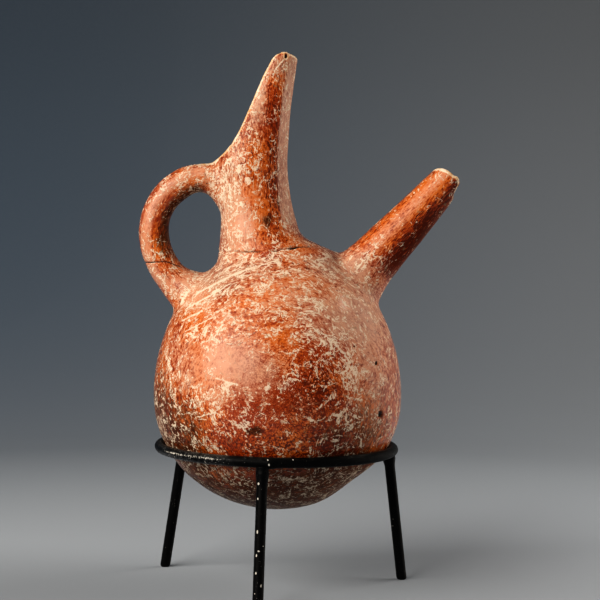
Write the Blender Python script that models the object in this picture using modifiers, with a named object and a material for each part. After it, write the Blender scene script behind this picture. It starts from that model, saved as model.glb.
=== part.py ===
"""Beak-spouted jug of red burnished clay, resting in a black rod ring stand.

A round-bottomed hand-built jug: an egg-shaped belly, a neck set off towards the handle and drawn up
into a tall cut-away beak, a loop handle behind it, and a straight tubular spout slanting up from the
shoulder. The jug is one hollow piece. It sits in a steel ring on three splayed legs.

Metres, +Z up. +X points to the spout's side, and the handle is on the -X side. Everything is placed
under one empty, which puts the origin at the middle of the whole object's footprint, on the floor.
Single sizes below are in metres. Points and stations in brackets are in millimetres.
"""

import math

import bmesh
import bpy
from mathutils import Matrix, Vector

MM = 0.001
OBJECT_NAME = "beak_spouted_jug"

# Ring stand
ROD_RADIUS = 4.0 * MM
RING_RADIUS = 92.3 * MM
RING_HEIGHT = 109.6 * MM
RING_STEPS = 56
ROD_SIDES = 10
FIT_GAP = 0.3 * MM
# name: (direction round the ring in degrees from +X, outward run for each unit of height)
LEGS = {
    "stand_leg_left": (145.2, 0.172),
    "stand_leg_front": (264.4, 0.155),
    "stand_leg_right": (15.1, 0.131),
}

# Jug, in its own frame: the belly's axis is Z, and the origin is at its foot
JUG_HEIGHT_ON_STAND = 60.6 * MM
BELLY_RADIUS = 98.3 * MM
BELLY_LEVEL = 90.0 * MM
SHOULDER_RISE = 120.0 * MM
BELLY_WALL = 5.5 * MM
BASE_WALL = 7.0 * MM
# The clay slumped a little flat low down on the spout's side: how deep, at what height, over what span
SLUMP_DEPTH = 6.5 * MM
SLUMP_LEVEL = 22.0 * MM
SLUMP_SPAN = 15.0 * MM

# Neck and beak, as stations: (height, back x, front x, half width across)
NECK_STATIONS = (
    (185, -52.0, 58.0, 46.0),
    (197, -49.5, 50.0, 41.0),
    (204, -48.8, 45.0, 38.0),
    (210, -48.4, 31.0, 35.5),
    (217, -47.8, 17.8, 33.5),
    (226, -47.5, 13.8, 31.0),
    (240, -48.0, 9.6, 29.2),
    (256, -49.5, 6.9, 28.4),
    (272, -51.5, 5.4, 27.6),
    (287, -49.5, 5.6, 25.0),
    (306, -41.5, 6.6, 20.5),
    (325, -32.5, 8.4, 16.3),
    (345, -22.5, 11.0, 12.8),
    (362, -14.5, 13.2, 10.4),
    (372, -10.0, 14.6, 9.4),
)
NECK_WALL = 5.5 * MM
TIP_WALL = 4.0 * MM
# The neck's bore starts well inside the belly, and keeps one width up to the narrowest part of the neck
BORE_FLOOR = 150.0 * MM
STRAIGHT_BORE_BELOW = 240.0 * MM

# The mouth's rim seen from the side: from its heel over the handle up to the tip of the beak
RIM_LINE = (
    (-57.5, 272.2),
    (-45.4, 280.6),
    (-36.2, 293.3),
    (-27.6, 312.4),
    (-20.0, 331.4),
    (-11.4, 350.2),
    (-6.4, 357.6),
    (0.8, 360.3),
    (8.0, 358.2),
    (14.0, 354.2),
    (24.0, 345.0),
)
# A small hole through the near wall of the beak: (x, height)
PIERCED_HOLE = (2.0, 356.6)
PIERCED_HOLE_RADIUS = 1.3 * MM

# Handle: (x, height, radius) along its middle
HANDLE_LINE = (
    (-36.0, 249.0, 19.0),
    (-50.0, 258.0, 14.0),
    (-64.5, 260.8, 11.7),
    (-83.4, 252.0, 12.6),
    (-96.3, 235.5, 12.2),
    (-99.7, 217.0, 12.6),
    (-95.6, 199.0, 13.0),
    (-84.5, 181.5, 13.8),
    (-67.5, 168.0, 20.0),
    (-56.0, 158.0, 23.0),
)
HANDLE_RADIUS = 12.0 * MM

# Tubular spout: its tip's centre, the lean of its axis and of its end from upright, and its outside
# and its bore as (distance from the tip, radius)
SPOUT_TIP = (133.0, 264.8)
SPOUT_LEAN = math.radians(41.5)
SPOUT_END_LEAN = math.radians(35.0)
SPOUT_SKIN = (
    (-14, 13.9),
    (0, 14.1),
    (30, 16.4),
    (60, 18.6),
    (82, 20.4),
    (97, 22.0),
    (112, 26.0),
    (122, 32.0),
)
SPOUT_BORE = ((-14, 7.6), (0, 7.8), (60, 10.5), (105, 13.5), (125, 15.0))

# How finely the joined clay is laid out again, how long it is rubbed smooth, and the share of faces kept
CLAY_GRID = 3.0 * MM
CLAY_SMOOTHING = 12
CLAY_FACES_KEPT = 0.09


def clear_scene():
    for thing in list(bpy.data.objects):
        bpy.data.objects.remove(thing, do_unlink=True)


def new_collection(name):
    group = bpy.data.collections.new(name)
    bpy.context.scene.collection.children.link(group)
    return group


def new_material(name, colour, roughness, metallic):
    material = bpy.data.materials.new(name)
    material.use_nodes = True
    shader = material.node_tree.nodes["Principled BSDF"]
    shader.inputs["Base Color"].default_value = (*colour, 1.0)
    shader.inputs["Roughness"].default_value = roughness
    shader.inputs["Metallic"].default_value = metallic
    material.diffuse_color = (*colour, 1.0)
    return material


def new_object(name, data, group, parent):
    thing = bpy.data.objects.new(name, data)
    group.objects.link(thing)
    thing.parent = parent
    return thing


def as_cutter(thing):
    thing.hide_render = True
    thing.display_type = "WIRE"
    return thing


def shade_round(mesh, sharp_degrees):
    mesh.shade_smooth()
    mesh.set_sharp_from_angle(angle=math.radians(sharp_degrees))


def turned(name, profile, steps, group, parent):
    """A solid turned about its Z axis. The profile, (radius, height) pairs, runs from top to bottom."""
    mesh = bpy.data.meshes.new(name)
    points = [(radius, 0.0, height) for radius, height in profile]
    mesh.from_pydata(points, [(i, i + 1) for i in range(len(points) - 1)], [])
    thing = new_object(name, mesh, group, parent)
    screw = thing.modifiers.new("turn", "SCREW")
    screw.steps = screw.render_steps = steps
    screw.use_merge_vertices = True
    screw.merge_threshold = 0.00001
    return thing


def curve_to_mesh(thing, group):
    """Replaces a curve with the mesh it makes, its end caps welded, so that it can be cut and joined."""
    bpy.context.view_layer.update()
    solid = bpy.data.meshes.new_from_object(thing.evaluated_get(bpy.context.evaluated_depsgraph_get()))
    form = bmesh.new()
    form.from_mesh(solid)
    bmesh.ops.remove_doubles(form, verts=form.verts, dist=0.00001)
    form.to_mesh(solid)
    form.free()
    name, parent, place = thing.name, thing.parent, thing.matrix_world.copy()
    bpy.data.objects.remove(thing, do_unlink=True)
    meshed = new_object(name, solid, group, parent)
    meshed.matrix_world = place
    return meshed


def boolean(target, other, operation):
    step = target.modifiers.new(f"{operation.lower()}_{other.name}", "BOOLEAN")
    step.operation = operation
    step.object = other
    step.solver = "EXACT"


def along(stations, height):
    """A station at any height, on a smooth curve through the stations given."""
    last = len(stations) - 2
    k = max(i for i in range(last + 1) if i == 0 or stations[i][0] <= height)
    before, here, there, after = (stations[min(max(k + d, 0), last + 1)] for d in (-1, 0, 1, 2))
    span = there[0] - here[0]
    t = min(max((height - here[0]) / span, 0.0), 1.0)
    values = []
    for a, b, c, d in zip(before[1:], here[1:], there[1:], after[1:]):
        rise_here = (c - a) / max(there[0] - before[0], 1.0) * span
        rise_there = (d - b) / max(after[0] - here[0], 1.0) * span
        start = (2 * t**3 - 3 * t**2 + 1) * b + (t**3 - 2 * t**2 + t) * rise_here
        values.append(start + (3 * t**2 - 2 * t**3) * c + (t**3 - t**2) * rise_there)
    return values


def lofted(name, rings, group, parent):
    """A closed solid through rings of points, given from the lowest up, each anticlockwise from above."""
    form = bmesh.new()
    loops = [[form.verts.new(point) for point in ring] for ring in rings]
    for low, high in zip(loops, loops[1:]):
        for i, corner in enumerate(low):
            j = (i + 1) % len(low)
            form.faces.new((corner, low[j], high[j], high[i]))
    form.faces.new(list(reversed(loops[0])))
    form.faces.new(loops[-1])
    mesh = bpy.data.meshes.new(name)
    form.to_mesh(mesh)
    form.free()
    return new_object(name, mesh, group, parent)


def oval(back, front, half_width, height, sides):
    middle, half_depth = (front + back) / 2, (front - back) / 2
    turns = [2 * math.pi * i / sides for i in range(sides)]
    return [(middle + half_depth * math.cos(a), half_width * math.sin(a), height) for a in turns]


def belly(name, wall, base_wall, rings, sides, group, parent):
    """The egg-shaped belly, or its hollow: two half ellipsoids, slumped a little on the spout's side."""
    loops = []
    for i in range(1, rings):
        turn = math.pi * (1.0 - i / rings)
        reach = SHOULDER_RISE - wall if turn < math.pi / 2 else BELLY_LEVEL - base_wall
        height = BELLY_LEVEL + reach * math.cos(turn)
        radius = (BELLY_RADIUS - wall) * math.sin(turn)
        slump = SLUMP_DEPTH * math.exp(-(((height - SLUMP_LEVEL) / SLUMP_SPAN) ** 2))
        loops.append(oval(-radius, radius - min(slump, radius / 4), radius, height, sides))
    return lofted(name, loops, group, parent)


def neck_skin(group, parent):
    """The outside of the neck and beak, before the mouth is cut out of it."""
    rings = []
    low, high = NECK_STATIONS[0][0], NECK_STATIONS[-1][0]
    for height in range(low, high + 1, 5):
        back, front, half_width = along(NECK_STATIONS, height)
        rings.append(oval(back * MM, front * MM, half_width * MM, height * MM, 32))
    return lofted("neck_skin", rings, group, parent)


def neck_bore(group, parent):
    """The hollow of the neck and beak, from inside the belly to above the tip."""
    rings = []
    top = NECK_STATIONS[-1][0] * MM
    steps = 22
    for i in range(steps + 1):
        height = BORE_FLOOR + (top - BORE_FLOOR) * i / steps
        level = max(height, STRAIGHT_BORE_BELOW)
        back, front, half_width = (value * MM for value in along(NECK_STATIONS, level / MM))
        wall = NECK_WALL + (TIP_WALL - NECK_WALL) * (level - STRAIGHT_BORE_BELOW) / (top - STRAIGHT_BORE_BELOW)
        rings.append(oval(back + wall, front - wall, half_width - wall, height, 24))
    return lofted("neck_bore", rings, group, parent)


def mouth_cutter(group, parent):
    """A slab with the rim's line as its lower edge. It takes away all of the neck above the mouth."""
    outline = bpy.data.curves.new("mouth_cutter", "CURVE")
    outline.dimensions = "2D"
    outline.fill_mode = "BOTH"
    outline.extrude = 70 * MM
    outline.resolution_u = 5
    outline.render_resolution_u = 5
    corners = ((60.0, 400.0), (-120.0, 400.0), (-120.0, 279.0))
    line = outline.splines.new("BEZIER")
    line.bezier_points.add(len(RIM_LINE) + len(corners) - 1)
    for i, (point, (x, height)) in enumerate(zip(line.bezier_points, RIM_LINE + corners)):
        point.co = (x * MM, height * MM, 0.0)
        on_rim = 0 < i < len(RIM_LINE) - 1
        point.handle_left_type = point.handle_right_type = "AUTO" if on_rim else "VECTOR"
    line.use_cyclic_u = True
    thing = new_object("mouth_cutter", outline, group, parent)
    thing.rotation_euler = (math.pi / 2, 0.0, 0.0)
    return curve_to_mesh(thing, group)


def handle_skin(group, parent):
    """The loop handle, a thick roll of clay whose two ends run into the neck and the shoulder."""
    path = bpy.data.curves.new("handle_skin", "CURVE")
    path.dimensions = "3D"
    path.bevel_depth = HANDLE_RADIUS
    path.bevel_resolution = 6
    path.resolution_u = 6
    path.render_resolution_u = 6
    path.use_fill_caps = True
    line = path.splines.new("BEZIER")
    line.bezier_points.add(len(HANDLE_LINE) - 1)
    for point, (x, height, radius) in zip(line.bezier_points, HANDLE_LINE):
        point.co = (x * MM, 0.0, height * MM)
        point.radius = radius * MM / HANDLE_RADIUS
        point.handle_left_type = point.handle_right_type = "AUTO"
    return curve_to_mesh(new_object("handle_skin", path, group, parent), group)


def spout_turning(name, widths, steps, group, parent):
    """A turned piece on the spout's axis, from pairs of distance from the tip and radius."""
    profile = [(0.0, -widths[0][0] * MM)]
    profile += [(radius * MM, -distance * MM) for distance, radius in widths]
    profile.append((0.0, -widths[-1][0] * MM))
    thing = turned(name, profile, steps, group, parent)
    thing.location = (SPOUT_TIP[0] * MM, 0.0, SPOUT_TIP[1] * MM)
    thing.rotation_euler = (0.0, SPOUT_LEAN, 0.0)
    return thing


def spout_end_cutter(group, parent):
    """A block that cuts the spout off square, just beyond its tip."""
    form = bmesh.new()
    size = 60 * MM
    bmesh.ops.create_cube(form, size=size, matrix=Matrix.Translation((0.0, 0.0, size / 2)))
    mesh = bpy.data.meshes.new("spout_end_cutter")
    form.to_mesh(mesh)
    form.free()
    thing = new_object("spout_end_cutter", mesh, group, parent)
    thing.location = (SPOUT_TIP[0] * MM, 0.0, SPOUT_TIP[1] * MM)
    thing.rotation_euler = (0.0, SPOUT_END_LEAN, 0.0)
    return thing


def pierced_hole_cutter(group, parent):
    """A thin pin through the near wall of the beak, just under its tip."""
    form = bmesh.new()
    bmesh.ops.create_cone(
        form,
        cap_ends=True,
        segments=10,
        radius1=PIERCED_HOLE_RADIUS,
        radius2=PIERCED_HOLE_RADIUS,
        depth=16 * MM,
        matrix=Matrix.Translation((0.0, -9 * MM, 0.0)) @ Matrix.Rotation(math.pi / 2, 4, "X"),
    )
    mesh = bpy.data.meshes.new("pierced_hole_cutter")
    form.to_mesh(mesh)
    form.free()
    thing = new_object("pierced_hole_cutter", mesh, group, parent)
    thing.location = (PIERCED_HOLE[0] * MM, 0.0, PIERCED_HOLE[1] * MM)
    return thing


def make_jug(parts, cutters, root, clay):
    """Joins the outer forms, works the clay smooth, then cuts the mouth and hollows the whole."""
    jug = belly("jug", 0.0, 0.0, 36, 56, parts, root)
    jug.location = (0.0, 0.0, JUG_HEIGHT_ON_STAND)
    jug.data.materials.append(clay)
    for skin in (
        neck_skin(cutters, jug),
        handle_skin(cutters, jug),
        spout_turning("spout_skin", SPOUT_SKIN, 32, cutters, jug),
    ):
        boolean(jug, as_cutter(skin), "UNION")
    grid = jug.modifiers.new("clay_grid", "REMESH")
    grid.mode = "VOXEL"
    grid.voxel_size = CLAY_GRID
    grid.use_smooth_shade = True
    smooth = jug.modifiers.new("clay_smoothing", "SMOOTH")
    smooth.factor = 0.5
    smooth.iterations = CLAY_SMOOTHING
    fewer = jug.modifiers.new("fewer_faces", "DECIMATE")
    fewer.ratio = CLAY_FACES_KEPT
    for hollow in (
        mouth_cutter(cutters, jug),
        spout_end_cutter(cutters, jug),
        belly("belly_hollow", BELLY_WALL, BASE_WALL, 20, 30, cutters, jug),
        neck_bore(cutters, jug),
        spout_turning("spout_bore", SPOUT_BORE, 16, cutters, jug),
        pierced_hole_cutter(cutters, jug),
    ):
        boolean(jug, as_cutter(hollow), "DIFFERENCE")
    return jug


def make_ring(parts, root, steel):
    bpy.ops.mesh.primitive_torus_add(
        major_radius=RING_RADIUS,
        minor_radius=ROD_RADIUS,
        major_segments=RING_STEPS,
        minor_segments=ROD_SIDES,
    )
    ring = bpy.context.object
    for group in list(ring.users_collection):
        group.objects.unlink(ring)
    parts.objects.link(ring)
    ring.name = ring.data.name = "stand_ring"
    ring.parent = root
    ring.location = (0.0, 0.0, RING_HEIGHT)
    ring.data.materials.append(steel)
    shade_round(ring.data, 60)
    return ring


def make_leg(name, direction, splay, parts, cutters, root, steel):
    """A round rod from the ring's middle line down to the floor, coped to the ring and cut level."""
    out = Vector((math.cos(direction), math.sin(direction), 0.0))
    head = out * RING_RADIUS + Vector((0.0, 0.0, RING_HEIGHT))
    down = out * splay - Vector((0.0, 0.0, 1.0))
    spare = 10 * MM
    length = RING_HEIGHT * down.length + spare
    form = bmesh.new()
    bmesh.ops.create_cone(
        form,
        cap_ends=True,
        segments=ROD_SIDES,
        radius1=ROD_RADIUS,
        radius2=ROD_RADIUS,
        depth=length,
        matrix=Matrix.Translation((0.0, 0.0, length / 2)),
    )
    mesh = bpy.data.meshes.new(name)
    form.to_mesh(mesh)
    form.free()
    shade_round(mesh, 60)
    leg = new_object(name, mesh, parts, root)
    leg.location = head
    leg.rotation_euler = down.to_track_quat("Z", "Y").to_euler()
    leg.data.materials.append(steel)
    boolean(leg, cutters["ring_seat_cutter"], "DIFFERENCE")
    boolean(leg, cutters["floor_cutter"], "DIFFERENCE")
    return leg


def ring_seat_cutter(group, root):
    """The ring with a little to spare all round, which shapes the heads of the legs."""
    bpy.ops.mesh.primitive_torus_add(
        major_radius=RING_RADIUS,
        minor_radius=ROD_RADIUS + FIT_GAP,
        major_segments=RING_STEPS,
        minor_segments=2 * ROD_SIDES,
    )
    cutter = bpy.context.object
    for old in list(cutter.users_collection):
        old.objects.unlink(cutter)
    group.objects.link(cutter)
    cutter.name = "ring_seat_cutter"
    cutter.parent = root
    cutter.location = (0.0, 0.0, RING_HEIGHT)
    return as_cutter(cutter)


def floor_cutter(group, root):
    form = bmesh.new()
    size = 400 * MM
    bmesh.ops.create_cube(form, size=size, matrix=Matrix.Translation((0.0, 0.0, -size / 2)))
    mesh = bpy.data.meshes.new("floor_cutter")
    form.to_mesh(mesh)
    form.free()
    return as_cutter(new_object("floor_cutter", mesh, group, root))


def centre_on_floor(root, pieces):
    """Moves the whole object so that the middle of its box stands over the origin."""
    bpy.context.view_layer.update()
    graph = bpy.context.evaluated_depsgraph_get()
    corners = [
        piece.matrix_world @ Vector(corner)
        for piece in pieces
        for corner in piece.evaluated_get(graph).bound_box
    ]
    for axis in (0, 1):
        places = [corner[axis] for corner in corners]
        root.location[axis] = -(min(places) + max(places)) / 2
    bpy.context.view_layer.update()


def main():
    clear_scene()
    parts = new_collection(OBJECT_NAME)
    cutters = new_collection("cutters")
    clay = new_material("burnished_clay", (0.36, 0.105, 0.045), 0.42, 0.0)
    steel = new_material("black_paint", (0.012, 0.012, 0.013), 0.45, 0.0)
    root = new_object(OBJECT_NAME, None, parts, None)
    jug = make_jug(parts, cutters, root, clay)
    ring = make_ring(parts, root, steel)
    tools = {
        "ring_seat_cutter": ring_seat_cutter(cutters, root),
        "floor_cutter": floor_cutter(cutters, root),
    }
    legs = [
        make_leg(name, math.radians(degrees), splay, parts, tools, root, steel)
        for name, (degrees, splay) in LEGS.items()
    ]
    centre_on_floor(root, [jug, ring, *legs])


main()
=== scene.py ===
"""A weathered beak-spouted jug of red burnished clay, resting in its black ring stand.

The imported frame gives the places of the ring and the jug. The jug is built again from the same forms as
its solid, at a finer scale, rubbed smooth, cut, hollowed and worn: its rims are rounded and chipped, and
it has its breaks, pits and dents. The stand's rods are swept along their paths with their welds and feet.

Metres, +Z up, +X towards the spout. Sizes written with MM are in metres. Points and stations in brackets
are in millimetres from the jug's foot, on the belly's axis, unless their comment says otherwise.
"""

import math
from types import SimpleNamespace

import bmesh
import bpy
import numpy as np
from mathutils import Matrix, Vector, noise
from mathutils.bvhtree import BVHTree


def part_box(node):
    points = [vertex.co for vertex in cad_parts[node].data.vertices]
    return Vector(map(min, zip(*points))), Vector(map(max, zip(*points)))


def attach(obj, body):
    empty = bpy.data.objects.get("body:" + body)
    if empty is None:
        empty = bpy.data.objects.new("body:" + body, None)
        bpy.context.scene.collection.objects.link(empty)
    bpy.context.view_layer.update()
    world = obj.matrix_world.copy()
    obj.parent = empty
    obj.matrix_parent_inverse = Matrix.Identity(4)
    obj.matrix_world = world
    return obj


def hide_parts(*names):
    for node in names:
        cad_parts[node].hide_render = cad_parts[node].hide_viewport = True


bl_info = {
    "name": "Beak-spouted jug",
    "version": (1, 0, 0),
    "blender": (4, 5, 0),
    "location": "View3D > Sidebar > Jug",
    "description": "Builds a worn red clay jug and its black ring stand over the packed frame",
    "category": "Object",
}

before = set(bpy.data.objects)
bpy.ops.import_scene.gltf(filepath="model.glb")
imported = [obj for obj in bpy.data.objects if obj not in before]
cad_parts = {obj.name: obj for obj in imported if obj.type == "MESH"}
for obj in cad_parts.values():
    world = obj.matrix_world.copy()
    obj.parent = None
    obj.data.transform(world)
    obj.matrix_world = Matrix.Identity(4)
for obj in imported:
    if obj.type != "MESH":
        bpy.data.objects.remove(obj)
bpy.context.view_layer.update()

MM = 0.001
RING_LOW, RING_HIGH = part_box("stand_ring")
RING_MIDDLE = (RING_LOW + RING_HIGH) / 2
ROD_RADIUS = 4.0 * MM
RING_RADIUS = (RING_HIGH.x - RING_LOW.x) / 2 - ROD_RADIUS
RING_STEPS = 240
# The painted rods: the ring's stays just inside its solid, and the legs' are a little thicker
RING_ROD = ROD_RADIUS - 0.05 * MM
LEG_ROD = ROD_RADIUS + 0.08 * MM
# The jug's foot is this far below the ring, on the ring's axis
FOOT_BELOW_RING = 49.0 * MM
JUG_FOOT = RING_MIDDLE - Vector((0.0, 0.0, FOOT_BELOW_RING))
# How far inside its solid's box the jug stays, in millimetres
BOX_MARGIN = 0.05

BELLY_RADIUS = 98.3 * MM
BELLY_LEVEL = 90.0 * MM
SHOULDER_RISE = 120.0 * MM
BELLY_WALL = 5.5 * MM
BASE_WALL = 7.0 * MM
# The height, in millimetres, that the rubbing strokes circle round
BELLY_MIDDLE = 95.0
# The clay slumped a little flat low down on the spout's side: how deep, at what height, over what span
SLUMP_DEPTH = 6.5 * MM
SLUMP_LEVEL = 22.0 * MM
SLUMP_SPAN = 15.0 * MM

# Neck and beak, as stations: (height, back x, front x, half width across)
NECK_STATIONS = (
    (185, -52.0, 58.0, 46.0),
    (197, -49.5, 50.0, 41.0),
    (204, -48.8, 45.0, 38.0),
    (210, -48.4, 31.0, 35.5),
    (217, -47.8, 17.8, 33.5),
    (226, -47.5, 13.8, 31.0),
    (240, -48.0, 9.6, 29.2),
    (256, -49.5, 6.9, 28.4),
    (272, -51.5, 5.4, 27.6),
    (287, -49.5, 5.6, 25.0),
    (306, -41.5, 6.6, 20.5),
    (325, -32.5, 8.4, 16.3),
    (345, -22.5, 11.0, 12.8),
    (362, -14.5, 13.2, 10.4),
    (372, -10.0, 14.6, 9.4),
)
NECK_WALL = 5.5 * MM
TIP_WALL = 4.0 * MM
# The neck's bore starts well inside the belly, and keeps one width up to the narrow part of the neck
BORE_FLOOR = 150.0 * MM
STRAIGHT_BORE_BELOW = 240.0 * MM

# The mouth's rim from the side, from its heel over the handle up to the tip of the beak
RIM_LINE = (
    (-57.5, 272.2),
    (-45.4, 280.6),
    (-36.2, 293.3),
    (-27.6, 312.4),
    (-20.0, 331.4),
    (-11.4, 350.2),
    (-6.4, 357.6),
    (0.8, 360.3),
    (8.0, 358.2),
    (14.0, 354.2),
    (24.0, 345.0),
)
# A small hole through the near wall of the beak: (x, height)
PIERCED_HOLE = (2.0, 356.2)
PIERCED_HOLE_RADIUS = 1.4 * MM

# The ridge where the pared front of the neck and beak meets its side: (height, x)
FRONT_RIDGE = (
    (200, 7.0),
    (222, 2.3),
    (236, -0.6),
    (249, -2.1),
    (268, -3.6),
    (293, -2.9),
    (324, -0.6),
    (350, 4.4),
)

# Handle: (x, height, radius) along its middle
HANDLE_LINE = (
    (-36.0, 249.0, 19.0),
    (-50.0, 258.0, 14.0),
    (-64.5, 260.8, 11.7),
    (-83.4, 252.0, 12.6),
    (-96.3, 235.5, 12.2),
    (-99.7, 217.0, 12.6),
    (-95.6, 199.0, 13.0),
    (-84.5, 181.5, 13.8),
    (-67.5, 168.0, 20.0),
    (-56.0, 158.0, 23.0),
)
HANDLE_RADIUS = 12.0 * MM
# The middle of the handle's loop, and how far from it the handle runs, in millimetres
HANDLE_LOOP = (-52.0, 213.0)
HANDLE_LOOP_RADIUS = 46.0

# Spout: its tip, its lean and its end's lean from upright, its outside and its bore as (distance, radius)
SPOUT_TIP = (133.0, 264.8)
SPOUT_LEAN = math.radians(41.5)
SPOUT_END_LEAN = math.radians(35.0)
SPOUT_SKIN = (
    (-14, 13.9),
    (0, 14.1),
    (30, 16.4),
    (60, 18.6),
    (82, 20.4),
    (97, 22.0),
    (112, 26.0),
    (122, 32.0),
)
# The worn lip of the spout: (distance under the axis, distance beyond the tip)
SPOUT_LIP = (
    (-14.5, -6.5),
    (-13.2, -3.0),
    (-11.5, -0.6),
    (-8.5, 1.3),
    (-5.3, 2.3),
    (-1.0, 2.7),
    (0.8, 2.2),
    (2.3, 3.5),
    (5.8, 3.2),
    (8.7, 1.5),
    (10.5, -1.5),
    (12.7, -5.0),
)
SPOUT_BORE = ((-14, 7.6), (0, 7.8), (60, 10.5), (105, 13.5), (125, 15.0))
# What is further out than this, in millimetres, belongs to the spout
SPOUT_SIDE = 40.0

# The broken and mended line round the foot of the neck, where it gapes most, and the crack across the
# foot of the handle: (x, height) along them
NECK_BREAK = (
    (-60, 203.5),
    (-45, 203.2),
    (-24, 204.2),
    (-8, 204.6),
    (2, 206.5),
    (12, 208.6),
    (30, 209.3),
    (60, 206.5),
)
NECK_GAP = 11.0
HANDLE_CRACK = ((-112.0, 192.0), (-101.5, 193.6), (-88.0, 194.7), (-72.3, 189.4), (-64.0, 185.0))
# Pits in the near side of the belly: (x, height, half width, half height, depth)
PITS = ((80.2, 82.5, 2.2, 3.8, 2.2), (76.0, 121.7, 1.2, 2.0, 1.4), (58.5, 135.5, 0.8, 1.1, 0.7))

# How long the joined clay is rubbed on the solid's own grid, and how long the cut wall is rubbed
SOLID_GRID = 3.0 * MM
SKIN_RUBS = 12
EDGE_RUBS = 5
# The shares of the faces that are kept on the inner wall and on the far side, and how far back from the
# middle that side begins, in millimetres
INNER_KEPT = 0.10
FAR_KEPT = 0.28
FAR_SIDE = 22.0

# name: (direction round the ring in degrees from +X, outward run for each unit of height)
LEGS = {
    "stand_leg_left": (145.2, 0.172),
    "stand_leg_front": (264.4, 0.155),
    "stand_leg_right": (15.1, 0.131),
}
# Chips in the near side's paint, with heights in millimetres above the floor: (x, height, half width,
# half height). On a leg x runs from the rod's middle
RING_CHIPS = ((-20.6, 108.6, 0.9, 1.5), (-21.6, 112.0, 0.9, 0.7), (-2.8, 112.4, 0.8, 0.5))
LEG_CHIPS = {
    "stand_leg_front": (
        (-2.5, 94.5, 0.9, 1.2),
        (-2.6, 83.5, 0.6, 1.1),
        (-2.2, 59.5, 0.8, 1.8),
        (2.5, 49.0, 0.4, 0.7),
        (-0.6, 45.5, 1.3, 0.7),
        (-2.3, 42.3, 0.7, 1.4),
        (-2.1, 29.5, 0.7, 1.4),
        (2.0, 20.5, 0.6, 1.7),
        (-2.5, 14.5, 0.5, 0.7),
        (-2.3, 9.0, 0.7, 0.8),
    ),
}

# The camera: its lens in millimetres, how far it looks down, how far it leans, and how far towards the
# spout of the ring's middle it looks
LENS = 114.03
LOOKS_DOWN = math.radians(2.97)
LEANS = math.radians(1.05)
AIM_RIGHT = 16.5 * MM
# The floor: how far out it lies flat, the radius of its sweep, and how high its wall is
FLAT_FLOOR = 0.85
FLOOR_SWEEP = 0.55
WALL_TOP = 3.5


# ---- What a user may change ----


def length(name, text, default):
    return bpy.props.FloatProperty(
        name=name, description=text, default=default, min=0.0, subtype="DISTANCE", unit="LENGTH"
    )


def colour(name, text, default):
    return bpy.props.FloatVectorProperty(
        name=name, description=text, default=default, size=3, min=0.0, max=1.0, subtype="COLOR"
    )


def power(name, text, default):
    return bpy.props.FloatProperty(name=name, description=text, default=default, min=0.0, unit="POWER")


class JugSettings(bpy.types.PropertyGroup):
    """Sizes and colours of the jug."""

    rough_grid: length("Joining grid", "How finely the joined clay is laid out", 1.7 * MM)
    fine_grid: length("Wall grid", "How finely the hollowed wall is laid out", 1.6 * MM)
    unevenness: length("Unevenness", "How far the hand-built wall strays from true", 0.7 * MM)
    red: colour("Slip, red", "The burnished slip where it is thick", (0.27, 0.038, 0.004))
    orange: colour("Slip, orange", "The burnished slip where it is thin", (0.54, 0.140, 0.016))
    deep: colour("Slip, deep", "The darkest red of the slip", (0.050, 0.007, 0.002))
    thin: colour("Slip, rubbed thin", "Bright grains where the slip is rubbed thin", (0.72, 0.27, 0.06))
    # A painted highlight: pale salmon where the lights' sheen falls on the burnish
    painted_sheen: colour("Slip, polished", "The pale salmon of the smoothest burnish", (0.53, 0.25, 0.148))
    worn: colour("Worn clay", "The clay where the slip has gone", (0.50, 0.315, 0.225))
    lime: colour("Lime", "The pale crust of lime", (0.73, 0.63, 0.50))
    stain: colour("Stains", "Greyish stains in the burnish", (0.21, 0.145, 0.085))
    soot_and_shade: colour("Fire clouding", "Dark brown stains from the firing and from use", (0.028, 0.012, 0.006))
    # Also painted shade under the belly and the spout and inside the handle
    inner: colour("Inside", "The plain clay inside", (0.24, 0.095, 0.048))


class StandSettings(bpy.types.PropertyGroup):
    """Sizes and colours of the stand."""

    weld: length("Weld", "How far a weld stands out round the top of a leg", 0.9 * MM)
    paint: colour("Paint", "The black paint", (0.0025, 0.0025, 0.0028))
    # Also a painted sheen, on upward faces and on the ring's front left
    rubbed: colour("Rubbed paint", "The greyer paint where hands have rubbed it", (0.010, 0.0095, 0.009))
    # Dust, and a painted sheen on the ring's front left
    dust_and_sheen: colour("Dust", "Dust on the paint's upper side", (0.16, 0.15, 0.14))
    # Also the colour of the painted highlight along the ring's front left
    chip: colour("Chips", "Primer and lime where the paint is chipped", (0.44, 0.42, 0.38))


class StageSettings(bpy.types.PropertyGroup):
    """The floor, the lights and the camera."""

    distance: length("Camera distance", "From the camera to the middle of the jug", 1.5)
    aim_height: length("Aim height", "The height that the camera looks at", 226.4 * MM)
    floor: colour("Floor", "The plain pale floor and its sweep", (0.35, 0.380, 0.420))
    warmth: colour("Light", "The colour of the soft lights", (1.0, 0.93, 0.84))
    key_power: power("Key light", "Power of the large soft light at the left", 60.0)
    side_power: power("Side light", "Power of the soft light at the right", 28.0)


# ---- Node trees ----


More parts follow.
